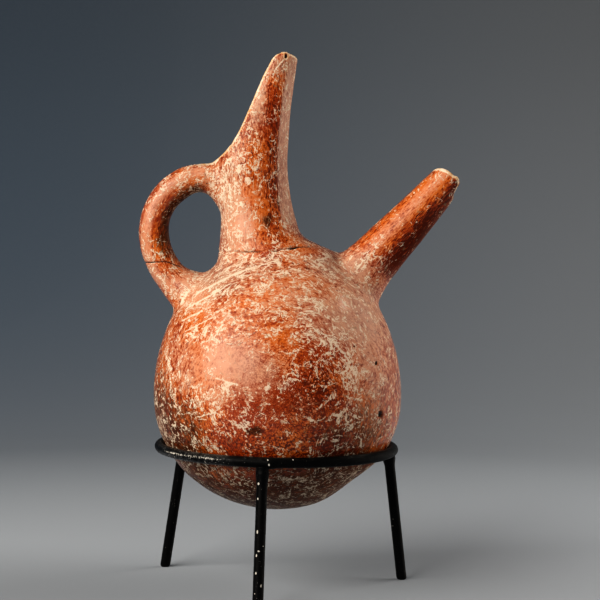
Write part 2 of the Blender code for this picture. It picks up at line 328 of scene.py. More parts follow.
class Wire:
    """A value in a node tree. Arithmetic on wires adds the Math nodes that work it out."""

    def __init__(self, tree, socket):
        self.tree = tree
        self.socket = socket

    def math(self, operation, first, second):
        return self.tree.node("ShaderNodeMath", {"operation": operation}, {0: first, 1: second})

    def __add__(self, other):
        return self.math("ADD", self, other)

    __radd__ = __add__

    def __sub__(self, other):
        return self.math("SUBTRACT", self, other)

    def __rsub__(self, other):
        return self.math("SUBTRACT", other, self)

    def __mul__(self, other):
        return self.math("MULTIPLY", self, other)

    __rmul__ = __mul__

    def __truediv__(self, other):
        return self.math("DIVIDE", self, other)

    def clamped(self):
        return self.tree.node("ShaderNodeMath", {"operation": "ADD", "use_clamp": True}, {0: self, 1: 0.0})

    def size(self):
        return self.math("ABSOLUTE", self, 0.0)

    def most(self, other):
        return self.math("MAXIMUM", self, other)


class Nodes:
    """A node tree that is written as expressions on its wires."""

    def __init__(self, tree):
        self.tree = tree
        tree.nodes.clear()

    def node(self, kind, settings=None, values=None, out=0):
        made = self.tree.nodes.new(kind)
        for name, value in (settings or {}).items():
            setattr(made, name, value)
        for key, value in (values or {}).items():
            if isinstance(value, Wire):
                self.tree.links.new(value.socket, made.inputs[key])
            else:
                made.inputs[key].default_value = value
        return Wire(self, made.outputs[out])

    def vector(self, operation, first, second=(0.0, 0.0, 0.0), out=0):
        return self.node("ShaderNodeVectorMath", {"operation": operation}, {0: first, 1: second}, out)

    def parts(self, vector):
        wire = self.node("ShaderNodeSeparateXYZ", None, {0: vector})
        return [Wire(self, wire.socket.node.outputs[axis]) for axis in range(3)]

    def joined(self, x, y, z):
        return self.node("ShaderNodeCombineXYZ", None, {0: x, 1: y, 2: z})

    def mix(self, share, first, second):
        first, second = (v if isinstance(v, Wire) else (*v[:3], 1.0) for v in (first, second))
        return self.node("ShaderNodeMix", {"data_type": "RGBA"}, {0: share, 6: first, 7: second}, 2)

    def step(self, value, low, high):
        """0 below low and 1 above high, with a soft step between them."""
        values = {"Value": value, "From Min": low, "From Max": high}
        return self.node("ShaderNodeMapRange", {"interpolation_type": "SMOOTHSTEP"}, values)

    def blend(self, share, first, second):
        """Between two values, by a share from 0 to 1."""
        return first + (second - first) * share

    def clouds(self, vector, size, detail=3.0, roughness=0.55, distortion=0.0, depth=None):
        """Noise whose lumps are about that size, in the vector's own units. A depth makes it run on in a
        fourth direction."""
        values = {
            "Vector": vector,
            "Scale": 1.0 / size,
            "Detail": detail,
            "Roughness": roughness,
            "Distortion": distortion,
        }
        if depth is None:
            return self.node("ShaderNodeTexNoise", {"noise_dimensions": "3D"}, values)
        return self.node("ShaderNodeTexNoise", {"noise_dimensions": "4D"}, {**values, "W": depth})

    def attribute(self, name, out="Fac"):
        return self.node("ShaderNodeAttribute", {"attribute_name": name}, None, out)

    def bump(self, strength, distance, height):
        values = {"Strength": strength, "Distance": distance, "Height": height}
        return self.node("ShaderNodeBump", None, values)


def new_material(name, **constants):
    """A material with one Principled shader, its even values set on the shader itself."""
    material = bpy.data.materials.new(name)
    material.use_nodes = True
    nodes = Nodes(material.node_tree)
    shader = nodes.tree.nodes.new("ShaderNodeBsdfPrincipled")
    for key, value in constants.items():
        shader.inputs[key.replace("_", " ")].default_value = value
    surface = nodes.tree.nodes.new("ShaderNodeOutputMaterial")
    nodes.tree.links.new(shader.outputs[0], surface.inputs["Surface"])
    return material, nodes, shader


def feed(nodes, shader, **wires):
    for key, wire in wires.items():
        nodes.tree.links.new(wire.socket, shader.inputs[key.replace("_", " ")])


# ---- Forms in clay ----


def new_piece(name, mesh):
    thing = bpy.data.objects.new(name, mesh)
    bpy.context.scene.collection.objects.link(thing)
    return thing


def mesh_of(form, name):
    """Turns what bmesh holds into a mesh, and lets the bmesh go."""
    mesh = bpy.data.meshes.new(name)
    form.to_mesh(mesh)
    form.free()
    return mesh


def worked_out(thing):
    """Replaces a piece's modifiers, or a curve, with the plain mesh they make."""
    bpy.context.view_layer.update()
    graph = bpy.context.evaluated_depsgraph_get()
    mesh = bpy.data.meshes.new_from_object(thing.evaluated_get(graph))
    name = thing.name
    bpy.data.objects.remove(thing, do_unlink=True)
    mesh.name = name
    return new_piece(name, mesh)


def cut_or_join(target, other, operation):
    step = target.modifiers.new(operation.lower(), "BOOLEAN")
    step.operation = operation
    step.object = other
    step.solver = "MANIFOLD"


def laid_out_again(thing, grid, rubs):
    """Lays the clay out on an even grid and rubs it smooth."""
    remesh = thing.modifiers.new("grid", "REMESH")
    remesh.mode = "VOXEL"
    remesh.voxel_size = grid
    smooth = thing.modifiers.new("rubbed", "SMOOTH")
    smooth.factor = 0.5
    smooth.iterations = rubs


def along(stations, height):
    """A station at any height, on a smooth curve through the stations given."""
    last = len(stations) - 2
    k = max(i for i in range(last + 1) if i == 0 or stations[i][0] <= height)
    before, here, there, after = (stations[min(max(k + d, 0), last + 1)] for d in (-1, 0, 1, 2))
    span = there[0] - here[0]
    t = min(max((height - here[0]) / span, 0.0), 1.0)
    values = []
    for a, b, c, d in zip(before[1:], here[1:], there[1:], after[1:]):
        rise_here = (c - a) / max(there[0] - before[0], 1.0) * span
        rise_there = (d - b) / max(after[0] - here[0], 1.0) * span
        start = (2 * t**3 - 3 * t**2 + 1) * b + (t**3 - 2 * t**2 + t) * rise_here
        values.append(start + (3 * t**2 - 2 * t**3) * c + (t**3 - t**2) * rise_there)
    return values


def lofted(name, rings):
    """A closed solid through rings of points, given from the lowest up, each anticlockwise from above."""
    form = bmesh.new()
    loops = [[form.verts.new(point) for point in ring] for ring in rings]
    for low, high in zip(loops, loops[1:]):
        for i, corner in enumerate(low):
            j = (i + 1) % len(low)
            form.faces.new((corner, low[j], high[j], high[i]))
    form.faces.new(list(reversed(loops[0])))
    form.faces.new(loops[-1])
    return new_piece(name, mesh_of(form, name))


def oval(back, front, half_width, height, sides=72):
    middle, half_depth = (front + back) / 2, (front - back) / 2
    turns = [2 * math.pi * i / sides for i in range(sides)]
    return [(middle + half_depth * math.cos(a), half_width * math.sin(a), height) for a in turns]


def belly(name, wall, base_wall, rings=90):
    """The egg-shaped belly, or its hollow: two half ellipsoids, slumped a little on the spout's side."""
    loops = []
    for i in range(1, rings):
        turn = math.pi * (1.0 - i / rings)
        reach = SHOULDER_RISE - wall if turn < math.pi / 2 else BELLY_LEVEL - base_wall
        height = BELLY_LEVEL + reach * math.cos(turn)
        radius = (BELLY_RADIUS - wall) * math.sin(turn)
        slump = SLUMP_DEPTH * math.exp(-(((height - SLUMP_LEVEL) / SLUMP_SPAN) ** 2))
        loops.append(oval(-radius, radius - min(slump, radius / 4), radius, height, 140))
    return lofted(name, loops)


def neck_skin():
    """The outside of the neck and beak, before the mouth is cut out of it."""
    low, high = NECK_STATIONS[0][0], NECK_STATIONS[-1][0]
    rings = []
    for step in range(0, 2 * (high - low) + 1, 5):
        height = low + step / 2
        back, front, half_width = along(NECK_STATIONS, height)
        rings.append(oval(back * MM, front * MM, half_width * MM, height * MM))
    return lofted("neck_skin", rings)


def neck_bore():
    """The hollow of the neck and beak, from inside the belly to above the tip."""
    rings = []
    top = NECK_STATIONS[-1][0] * MM
    tapering = top - STRAIGHT_BORE_BELOW
    steps = 60
    for i in range(steps + 1):
        height = BORE_FLOOR + (top - BORE_FLOOR) * i / steps
        level = max(height, STRAIGHT_BORE_BELOW)
        back, front, half_width = (value * MM for value in along(NECK_STATIONS, level / MM))
        wall = NECK_WALL + (TIP_WALL - NECK_WALL) * (level - STRAIGHT_BORE_BELOW) / tapering
        rings.append(oval(back + wall, front - wall, half_width - wall, height))
    return lofted("neck_bore", rings)


def mouth_cutter():
    """A slab with the rim's line as its lower edge. It takes away all of the neck above the mouth."""
    outline = bpy.data.curves.new("mouth_cutter", "CURVE")
    outline.dimensions = "2D"
    outline.fill_mode = "BOTH"
    outline.extrude = 70 * MM
    outline.resolution_u = outline.render_resolution_u = 12
    corners = ((60.0, 400.0), (-120.0, 400.0), (-120.0, 279.0))
    line = outline.splines.new("BEZIER")
    line.bezier_points.add(len(RIM_LINE) + len(corners) - 1)
    for i, (point, (x, height)) in enumerate(zip(line.bezier_points, RIM_LINE + corners)):
        point.co = (x * MM, height * MM, 0.0)
        on_rim = 0 < i < len(RIM_LINE) - 1
        point.handle_left_type = point.handle_right_type = "AUTO" if on_rim else "VECTOR"
    line.use_cyclic_u = True
    thing = worked_out(new_piece("mouth_cutter", outline))
    thing.data.transform(Matrix.Rotation(math.pi / 2, 4, "X"))
    return welded(thing)


def handle_skin():
    """The loop handle, a thick roll of clay whose two ends run into the neck and the shoulder."""
    path = bpy.data.curves.new("handle_skin", "CURVE")
    path.dimensions = "3D"
    path.bevel_depth = HANDLE_RADIUS
    path.bevel_resolution = 14
    path.resolution_u = path.render_resolution_u = 16
    path.use_fill_caps = True
    line = path.splines.new("BEZIER")
    line.bezier_points.add(len(HANDLE_LINE) - 1)
    for point, (x, height, radius) in zip(line.bezier_points, HANDLE_LINE):
        point.co = (x * MM, 0.0, height * MM)
        point.radius = radius * MM / HANDLE_RADIUS
        point.handle_left_type = point.handle_right_type = "AUTO"
    return welded(worked_out(new_piece("handle_skin", path)))


def welded(thing, turned_outwards=False):
    """Joins the corners that meet."""
    form = bmesh.new()
    form.from_mesh(thing.data)
    bmesh.ops.remove_doubles(form, verts=form.verts, dist=0.01 * MM)
    if turned_outwards:
        bmesh.ops.recalc_face_normals(form, faces=form.faces)
    form.to_mesh(thing.data)
    form.free()
    return thing


def at_spout_tip(lean):
    """The move from the origin to the spout's tip, leaning that far from upright."""
    tip = Matrix.Translation((SPOUT_TIP[0] * MM, 0.0, SPOUT_TIP[1] * MM))
    return tip @ Matrix.Rotation(lean, 4, "Y")


def spout_form(name, widths):
    """A round form on the spout's axis, from pairs of distance from the tip and radius."""
    near, far = widths[0][0], widths[-1][0]
    rings = []
    for distance in range(far, near - 1, -2):
        (radius,) = along(widths, distance)
        rings.append(oval(-radius * MM, radius * MM, radius * MM, -distance * MM))
    spout = lofted(name, rings)
    spout.data.transform(at_spout_tip(SPOUT_LEAN))
    return spout


def spout_end_cutter():
    """A block that stands on the spout's sawn end."""
    size = 60 * MM
    place = at_spout_tip(SPOUT_END_LEAN) @ Matrix.Translation((0.0, 0.0, size / 2))
    form = bmesh.new()
    bmesh.ops.create_cube(form, size=size, matrix=place)
    return new_piece("spout_end_cutter", mesh_of(form, "spout_end_cutter"))


def pierced_hole_cutter():
    """A thin pin through the near wall of the beak, just under its tip."""
    form = bmesh.new()
    place = Matrix.Translation((PIERCED_HOLE[0] * MM, -9 * MM, PIERCED_HOLE[1] * MM))
    bmesh.ops.create_cone(
        form,
        cap_ends=True,
        segments=20,
        radius1=PIERCED_HOLE_RADIUS,
        radius2=PIERCED_HOLE_RADIUS,
        depth=16 * MM,
        matrix=place @ Matrix.Diagonal((0.75, 1.0, 1.2, 1.0)) @ Matrix.Rotation(math.pi / 2, 4, "X"),
    )
    pin = new_piece("pierced_hole_cutter", mesh_of(form, "pierced_hole_cutter"))
    # The hole's wall is marked as a pit, and so painted dark: painted shade
    for name in ("pit", "outside"):
        put(pin.data, name, np.ones(len(pin.data.vertices)))
    return pin


def clay_form(settings):
    """Joins the outer forms and works the clay smooth. Returns the whole outer skin, still solid."""
    skin = belly("outer_skin", 0.0, 0.0)
    others = [neck_skin(), handle_skin(), spout_form("spout_skin", SPOUT_SKIN)]
    for other in others:
        cut_or_join(skin, other, "UNION")
    # The rubbing reaches as far as the solid's does, whatever the grid
    finer = SOLID_GRID / settings.rough_grid
    laid_out_again(skin, settings.rough_grid, round(SKIN_RUBS * finer**2))
    skin = worked_out(skin)
    for other in others:
        bpy.data.objects.remove(other, do_unlink=True)
    return skin


def hollowed(skin, cutters, settings):
    """Cuts the mouth and the spout's end, hollows the jug, and rounds every edge a little."""
    jug = new_piece("jug_wall", skin.data.copy())
    for cutter in cutters:
        cut_or_join(jug, cutter, "DIFFERENCE")
    laid_out_again(jug, settings.fine_grid, EDGE_RUBS)
    return worked_out(jug)


# ---- Wear and damage, worked out in millimetres from the jug's foot ----


def lumps(points, size, seed, detail=0):
    """Smooth noise from about -1 to 1, its lumps of that size in mm, at each point."""
    shift = Vector((seed * 13.7, seed * 7.3, seed * 3.1))
    if detail:
        values = [noise.fractal(Vector(p) / size + shift, 0.9, 2.1, detail) for p in points]
    else:
        values = [noise.noise(Vector(p) / size + shift) for p in points]
    return np.array(values)


def ramp(values, low, high):
    """0 below low and 1 above high, with a soft step between them."""
    t = np.clip((values - low) / (high - low), 0.0, 1.0)
    return t * t * (3.0 - 2.0 * t)


def bell(distance, width):
    """1 in the middle, falling away softly over that width."""
    return np.exp(-((distance / width) ** 2))


def blob(points, x, z, across, up):
    """A soft round patch, seen from the side."""
    return np.exp(-(((points[:, 0] - x) / across) ** 2) - ((points[:, 2] - z) / up) ** 2)


def blobs(points, places):
    """Soft round patches together: (x, height, half width, half height, strength)."""
    return sum(strength * blob(points, *place) for *place, strength in places)


def line_height(line, x):
    return np.interp(x, *zip(*line))


def distances(points, surface):
    """How far each point, in mm, is from a piece's surface."""
    tree = BVHTree.FromObject(surface, bpy.context.evaluated_depsgraph_get())
    return np.array([tree.find_nearest(Vector(p) * MM)[3] for p in points]) / MM


def read_points(mesh):
    points = np.empty(len(mesh.vertices) * 3)
    mesh.vertices.foreach_get("co", points)
    return points.reshape(-1, 3) / MM


def read_normals(mesh):
    normals = np.empty(len(mesh.vertices) * 3)
    mesh.vertex_normals.foreach_get("vector", normals)
    return normals.reshape(-1, 3)


def read_values(mesh, name):
    values = np.empty(len(mesh.vertices), np.float32)
    mesh.attributes[name].data.foreach_get("value", values)
    return values


def put(mesh, name, values):
    attribute = mesh.attributes.new(name, "FLOAT", "POINT")
    attribute.data.foreach_set("value", np.ascontiguousarray(values, np.float32))


def put_vector(mesh, name, values):
    attribute = mesh.attributes.new(name, "FLOAT_VECTOR", "POINT")
    attribute.data.foreach_set("vector", np.ascontiguousarray(values, np.float32).ravel())


def near_detail(points):
    """True where the clay has fine damage that needs a closer grid."""
    x, y, z = points.T
    at_break = (np.abs(z - line_height(NECK_BREAK, x)) < 2.6) & (np.abs(y) < 48) & (np.abs(x) < 62)
    at_crack = (np.abs(z - line_height(HANDLE_CRACK, x)) < 2.6) & (x < -66)
    at_pit = np.zeros(len(points), bool)
    for pit_x, pit_z, _, half_height, _ in PITS:
        at_pit |= (np.hypot(x - pit_x, z - pit_z) < half_height + 1.5) & (y < 0)
    return at_break | at_crack | at_pit


def closer_grid(mesh, wanted):
    """Splits each face whose middle is wanted into nine."""
    form = bmesh.new()
    form.from_mesh(mesh)
    middles = np.array([face.calc_center_median() for face in form.faces]) / MM
    chosen = wanted(middles)
    edges = {edge for face, take in zip(form.faces, chosen) if take for edge in face.edges}
    bmesh.ops.subdivide_edges(form, edges=list(edges), cuts=2, use_grid_fill=True)
    bmesh.ops.triangulate(form, faces=[face for face in form.faces if len(face.verts) > 4])
    form.to_mesh(mesh)
    form.free()


def spout_place(points):
    """How far each point is beyond the spout's tip along its axis, and under that axis."""
    x, z = points[:, 0] - SPOUT_TIP[0], points[:, 2] - SPOUT_TIP[1]
    lean_x, lean_z = math.sin(SPOUT_LEAN), math.cos(SPOUT_LEAN)
    return x * lean_x + z * lean_z, x * lean_z - z * lean_x


def handle_place(points):
    """How far each point is from the middle of the handle's loop, and how far round it."""
    x, z = points[:, 0] - HANDLE_LOOP[0], points[:, 2] - HANDLE_LOOP[1]
    return np.hypot(x, z), HANDLE_LOOP_RADIUS * np.arctan2(x, z)


def along_limbs(points):
    """Places that follow the neck, the spout and the handle, and how surely a point is on one of them."""
    x, y, z = points.T
    beyond, under = spout_place(points)
    out, round_it = handle_place(points)
    on_neck = ramp(z, 196.0, 214.0)
    on_spout = ramp(beyond, -112.0, -88.0) * (under > -40) * (x > SPOUT_SIDE)
    on_handle = ramp(-x, 50.0, 60.0) * ramp(z, 168.0, 182.0) * ramp(out, 20.0, 30.0)
    handle = np.stack([out, y, round_it], 1)
    spout = np.stack([under, y, beyond], 1)
    place = np.where((on_handle > on_neck * 0.999)[:, None], handle, points)
    place = np.where((on_spout > 0)[:, None], spout, place)
    return place, np.maximum(np.maximum(on_neck, on_spout), on_handle)


# Single pale scratches on the near side: one end, the other end (x, height), and half their width
SCRATCHES = (
    ((0.2, 353.0), (-5.2, 346.8), 0.55),
    ((-5.2, 346.8), (-7.4, 340.0), 0.45),
    ((-62.0, 172.0), (-34.0, 187.0), 0.7),
    ((-34.0, 187.0), (-2.0, 198.0), 0.5),
    ((-70.0, 160.0), (-48.0, 173.0), 0.6),
    ((-74.0, 150.0), (-58.0, 159.0), 0.6),
    ((-70.0, 143.0), (-49.0, 155.0), 0.5),
    ((-45.0, 110.5), (-29.0, 106.5), 0.8),
    ((24.0, 151.0), (44.0, 138.0), 0.7),
    ((44.0, 138.0), (55.0, 123.0), 0.7),
)

# Where the lime lies thick, and where it is nearly gone: (x, height, half width, half height, strength)
LIME_PATCHES = (
    (-72, 166, 15, 9, 0.20),
    (-50, 178, 17, 9, 0.26),
    (-28, 190, 17, 8, 0.26),
    (-8, 200, 20, 7, 0.28),
    (-44, 143, 20, 9, 0.30),
    (-80, 114, 8, 14, 0.12),
    (-62, 94, 9, 7, 0.22),
    (-39, 104, 9, 5, 0.55),
    (10, 108, 7, 9, 0.55),
    (-82, 58, 8, 14, 0.10),
    (-24, 76, 4, 3, 0.60),
    (-26, 76, 26, 12, 0.20),
    (8, 160, 30, 8, 0.16),
    (20, 147, 14, 6, 0.24),
    (40, 138, 12, 6, 0.26),
    (53, 123, 9, 9, 0.28),
    (57, 106, 8, 12, 0.28),
    (52, 86, 9, 12, 0.34),
    (-27, 278, 20, 11, 0.20),
    (-14, 262, 9, 9, 0.15),
    (-42, 244, 8, 30, 0.30),
    (-12, 235, 14, 30, -0.08),
    (78, 196, 16, 12, 0.15),
    (-30, 121, 24, 17, -0.50),
    (-5, 64, 36, 18, -0.30),
    (14, 94, 22, 10, -0.30),
    (84, 125, 20, 50, -0.22),
    (0, 20, 120, 22, -0.02),
    (-6, 300, 8, 40, -0.32),
    (100, 218, 24, 30, -0.42),
    (122, 250, 18, 16, -0.22),
    (38, 200, 16, 9, 0.20),
    (28, 168, 16, 8, 0.16),
    (-60, 262, 10, 10, 0.25),
    (-40, 204, 12, 6, 0.15),
    (-88, 226, 20, 26, -0.25),
    (-74, 128, 20, 14, -0.15),
)
# Where the burnish has gone dull under a thin pale film. The patch at (-28, 118) is also part of the
# painted highlight on the belly
FILM_PATCHES = (
    (-45, 182, 44, 18, 0.50),
    (0, 196, 60, 18, 0.45),
    (36, 160, 44, 22, 0.52),
    (-74, 124, 22, 34, 0.50),
    (-36, 280, 9, 16, 0.50),
    (-56, 262, 14, 12, 0.50),
    (38, 198, 18, 12, 0.40),
    (-2, 350, 15, 12, 0.80),
    (62, 160, 34, 30, 0.65),
    (74, 112, 24, 40, 0.60),
    (-40, 238, 13, 36, 0.90),
    (-30, 226, 10, 22, 0.50),
    (-24, 158, 40, 12, 0.22),
    (-28, 118, 28, 24, 0.60),
    (-66, 172, 20, 16, 0.60),
    (-84, 100, 18, 30, 0.10),
    (-90, 64, 12, 22, 0.50),
    (24, 90, 16, 11, 0.60),
    (-4, 118, 14, 18, 0.38),
    (-62, 106, 12, 12, 0.25),
    (14, 172, 16, 10, 0.25),
    (-19, 322, 9, 30, 0.95),
    (12, 300, 7, 70, 0.55),
    (60, 196, 16, 14, 0.50),
)
# Painted sheen: where the lights' highlights fall on the burnish, the slip is painted pale salmon and less
# mottled
SHEEN_PATCHES = (
    (-42, 125, 31, 29, 0.85),
    (-14, 104, 12, 10, 0.3),
    (-40, 158, 24, 8, 0.3),
    (-46, 96, 10, 8, 0.6),
    (-32, 224, 18, 16, 0.9),
    (-20, 250, 8, 10, 0.4),
    (64, 126, 16, 26, 0.5),
    (36, 168, 18, 8, 0.5),
    (-84, 178, 10, 10, 0.6),
)
# Where the slip is thick and at its deepest red. The strips at (-6, 296) and (-3, 250), down the front of
# the beak and neck, are painted shade between the lights' sheens
DEEP_PATCHES = (
    (-6, 296, 6, 44, 0.8),
    (-3, 250, 6, 24, 0.7),
    (10, 92, 26, 14, 0.6),
    (32, 110, 15, 18, 0.9),
    (-10, 58, 60, 16, 0.7),
    (-20, 164, 60, 26, -0.8),
    (-70, 120, 24, 30, -0.15),
    (-26, 240, 20, 40, -0.2),
    (118, 250, 18, 16, -0.6),
    (36, 84, 26, 20, 0.4),
    (44, 56, 16, 12, 0.5),
)
# Brown and grey clouding from the fire. The broad patch round the foot and the one at (50, 36) under the
# ring are partly painted shade under the belly
DARK_PATCHES = (
    (-92, 84, 14, 36, 0.80),
    (-80, 58, 20, 20, 0.65),
    (-70, 86, 16, 18, 0.45),
    (-60, 50, 13, 36, 0.50),
    (40, 74, 28, 18, 0.38),
    (66, 58, 34, 20, 0.38),
    (73, 86, 20, 26, 0.48),
    (0, 10, 130, 30, 1.3),
    (50, 36, 40, 14, 0.5),
    (-48, 180, 22, 14, 0.50),
    (1, 350, 12, 12, 0.45),
)

# Two small sooty marks, on the near side alone
DARK_MARKS = ((-10, 228, 4, 5, 1.2), (-16, 73, 7, 3, 1.6))


def worn_jug(jug, skin, mouth, end, settings):
    """Makes the wall uneven, breaks, pits and wears it, and marks each part for the slip's finish."""
    mesh = jug.data
    closer_grid(mesh, near_detail)
    points, normals = read_points(mesh), read_normals(mesh)
    outside = 1.0 - ramp(distances(points, skin), 1.2, 3.0)
    from_mouth = ramp(distances(points, mouth), 0.8, 3.0)
    from_end = ramp(distances(points, end), 1.0, 5.0)
    edge = 1.0 - np.minimum(from_mouth, from_end)

    slow, quick, fine = lumps(points, 36.0, 1), lumps(points, 13.0, 2), lumps(points, 3.2, 3, 4)
    move = settings.unevenness / MM * (-0.62 + 0.55 * slow + 0.24 * quick) + 0.02 * fine
    crack = cracked(points, outside, fine, move)
    pit = pitted(points, outside, fine, move)
    nicks = ramp(lumps(points, 4.5, 6), 0.15, 0.6)
    move -= edge * (0.12 + 0.55 * nicks)

    points = points + normals * move[:, None]
    points, flat_front = pared_front(points, outside)
    points = rounded_spout_end(points, outside)
    low, high = (np.array(corner - JUG_FOOT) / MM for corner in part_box("jug"))
    points = np.clip(points, low + BOX_MARGIN, high - BOX_MARGIN)
    mesh.vertices.foreach_set("co", (points * MM).ravel())
    mark_clay(mesh, points, outside, edge, crack, pit, flat_front)
    mesh.shade_smooth()
    mesh.update()


def cracked(points, outside, fine, move):
    """Adds the neck's break and the handle's crack to the move. Returns how dark they are."""
    x, y, z = points.T
    # The mended break: a groove with a slight step across it, open in places
    wander = 0.9 * lumps(points, 9.0, 4) + 0.5 * fine
    above = z - line_height(NECK_BREAK, x) - wander
    on_neck = outside * (np.abs(x) < 62) * (np.abs(y) < 50) * (z > 195)
    openness = ramp(lumps(points, 11.0, 5), -0.35, 0.35)
    gap = bell(x - NECK_GAP, 3.0) * (y < 0)
    groove = bell(above, 0.55 + 0.5 * gap) * on_neck
    move -= groove * (0.35 + 0.6 * openness + 1.9 * gap)
    move += 0.22 * on_neck * bell(above - 2.0, 1.6)
    crack = groove * np.clip(0.25 + 0.5 * openness + gap, 0.0, 1.0)

    across = z - line_height(HANDLE_CRACK, x) - 0.5 * wander
    split = bell(across, 0.5) * outside * ramp(-x, 73.0, 80.0)
    move -= 0.9 * split
    return np.maximum(crack, split)


def pitted(points, outside, fine, move):
    """Adds the pits to the move. Returns how dark they are."""
    x, y, z = points.T
    pit = np.zeros(len(points))
    for pit_x, pit_z, half_width, half_height, pit_depth in PITS:
        reach = np.hypot((x - pit_x) / half_width, (z - pit_z) / half_height) * (1.0 + 0.25 * fine)
        hollow = (1.0 - ramp(reach, 0.35, 1.0)) * (y < 0) * outside
        move -= pit_depth * hollow
        pit = np.maximum(pit, hollow)
    return pit


def pared_front(points, outside):
    """Pares the front of the neck and beak flat, up to a ridge each side. Returns where it is flat too."""
    x, y, z = points.T
    ridge = line_height(FRONT_RIDGE, z)
    heights, *sides = zip(*NECK_STATIONS)
    back, front, half_width = (np.interp(z, heights, side) for side in sides)
    middle, half_depth = (front + back) / 2, (front - back) / 2
    ridge_y = half_width * np.sqrt(np.clip(1.0 - ((ridge - middle) / half_depth) ** 2, 0.01, 1.0))
    flat = ridge + (front - ridge) * (1.0 - np.abs(y) / ridge_y)
    share = ramp(z, 214.0, 236.0) * ramp(-z, -358.0, -350.0) * outside * (x > middle) * (x < front + 2.0)
    inside_ridge = np.abs(y) < ridge_y
    moved = points.copy()
    moved[:, 0] = np.where(inside_ridge, x - share * np.clip(x - flat, 0.0, 3.0), x)
    return moved, share * ramp(x - ridge, -0.6, 0.6)


def rounded_spout_end(points, outside):
    """Wears the spout's end round, with a notch in its rim, a nub beyond it and its underside worn back."""
    y = points[:, 1]
    beyond, under = spout_place(points)
    sawn = 0.11 * under - 0.2
    lip = line_height(SPOUT_LIP, under)
    reach = ramp(beyond - sawn, -14.0, -1.0) * (points[:, 0] > 100)
    lean_x, lean_z = math.sin(SPOUT_LEAN), math.cos(SPOUT_LEAN)
    moved = points + ((lip - sawn) * reach)[:, None] * (lean_x, 0.0, lean_z)
    near_end = ramp(beyond, -20.0, 1.0) ** 1.5
    off_bore = np.clip(outside + ramp(np.hypot(under, y), 8.5, 12.0), 0, 1)
    worn = 0.20 * near_end * ramp(under, 2.0, 13.0) * off_bore
    moved[:, 0] -= worn * under * lean_z
    moved[:, 2] += worn * under * lean_x
    return moved


def mark_clay(mesh, points, outside, edge, crack, pit, flat_front):
    """Marks what each part of the clay looks like: attributes that the slip's finish reads."""
    x, y, z = points.T
    near_side = y < 4.0
    spout_side = x > SPOUT_SIDE
    beyond, under = spout_place(points)
    tube = np.interp(-beyond, *zip(*SPOUT_SKIN))
    low_spout = ramp(beyond, -98.0, -80.0)
    on_spout = ramp(beyond, -88.0, -70.0) * spout_side
    # Painted shade on the spout's underside, and a painted sheen along its upper side
    underside = low_spout * ramp(under / tube, -0.15, 0.60) * spout_side
    spout_sheen = ramp(under / tube, -0.9, -0.62) * ramp(-under / tube, -0.08, 0.22)
    spout_sheen = spout_sheen * ramp(beyond, -100.0, -84.0) * spout_side

    out, _ = handle_place(points)
    on_handle = ramp(-x, 52.0, 64.0) * ramp(z, 168.0, 182.0)
    # Painted shade inside the handle's loop, fading lower down, and a painted sheen in a band along the
    # handle's outer part
    handle_shade = on_handle * ramp(-out, -48.0, -41.0) * ramp(z, 184.0, 212.0) * 0.9
    handle_sheen = ramp(out, 45.5, 52.0) * (1.0 - 0.6 * ramp(out, 56.5, 58.5)) * on_handle
    dull_handle = on_handle * 0.25 * ramp(out, 57.0, 59.0)

    from_hole = np.hypot(x - PIERCED_HOLE[0], z - PIERCED_HOLE[1])
    at_hole = (1.0 - ramp(from_hole, 2.0, 3.4)) * (y < 0)
    # Painted shade: on the spout's underside, and inside the handle's loop
    shade = np.maximum(low_spout * ramp(under, 3.0, 12.0) * spout_side * 0.20, handle_shade)
    dark = blobs(points, DARK_PATCHES) + blobs(points, DARK_MARKS) * near_side
    # Painted sheen where the lights' highlights fall: the listed patches, the spout's upper side and the
    # handle's band
    smooth = blobs(points, SHEEN_PATCHES) + (0.55 * spout_sheen + 0.85 * handle_sheen) * near_side
    deep = blobs(points, DEEP_PATCHES)
    film = blobs(points, FILM_PATCHES) + dull_handle + flat_front * 0.9 - 0.35 * on_spout
    film -= 0.35 * np.clip(deep, 0.0, 1.0)

    limb_place, on_limb = along_limbs(points)
    put_vector(mesh, "limb_place", limb_place)
    put(mesh, "limb", on_limb)
    put(mesh, "outside", outside)
    put(mesh, "edge", np.maximum(edge, at_hole * outside))
    put(mesh, "crack", crack)
    # Painted shade darkens the inside of the narrow tip of the beak
    put(mesh, "pit", np.maximum(pit, 0.9 * ramp(z, 336.0, 353.0) * (1.0 - outside)))
    put(mesh, "lime", np.clip(0.37 + blobs(points, LIME_PATCHES), 0.0, 1.2))
    # dark holds fire clouding and painted shade; smooth holds the painted sheen; deep holds thick slip and
    # painted shade under the spout
    put(mesh, "dark", np.clip(dark + shade, 0.0, 1.0))
    put(mesh, "smooth", np.clip(smooth, 0.0, 1.0))
    put(mesh, "deep", np.clip(deep + underside * 1.6 - spout_sheen * 0.5, -1.0, 1.6))
    put(mesh, "film", np.clip(film, -0.4, 1.0))


def inner_wall(mesh):
    return read_values(mesh, "outside") < 0.02


def far_side(mesh):
    whole = read_values(mesh, "crack") < 0.02
    return ~inner_wall(mesh) & whole & (read_points(mesh)[:, 1] > FAR_SIDE)


def fewer_faces(jug, wanted, kept):
    """Thins out faces that no one sees close to, down to that share of them."""
    chosen = np.flatnonzero(wanted(jug.data))
    group = jug.vertex_groups.new(name=wanted.__name__)
    group.add(chosen.tolist(), 1.0, "REPLACE")
    thinner = jug.modifiers.new("thinner", "DECIMATE")
    thinner.ratio = 1.0 - (1.0 - kept) * len(chosen) / len(jug.data.vertices)
    thinner.vertex_group = group.name
    thinner.vertex_group_factor = 10.0
    return worked_out(jug)


# ---- Finishes ----


def shaded(colour, share):
    return tuple(part * share for part in colour)


def in_millimetres(nodes, place):
    return nodes.node("ShaderNodeVectorMath", {"operation": "SCALE"}, {0: place, "Scale": 1.0 / MM})


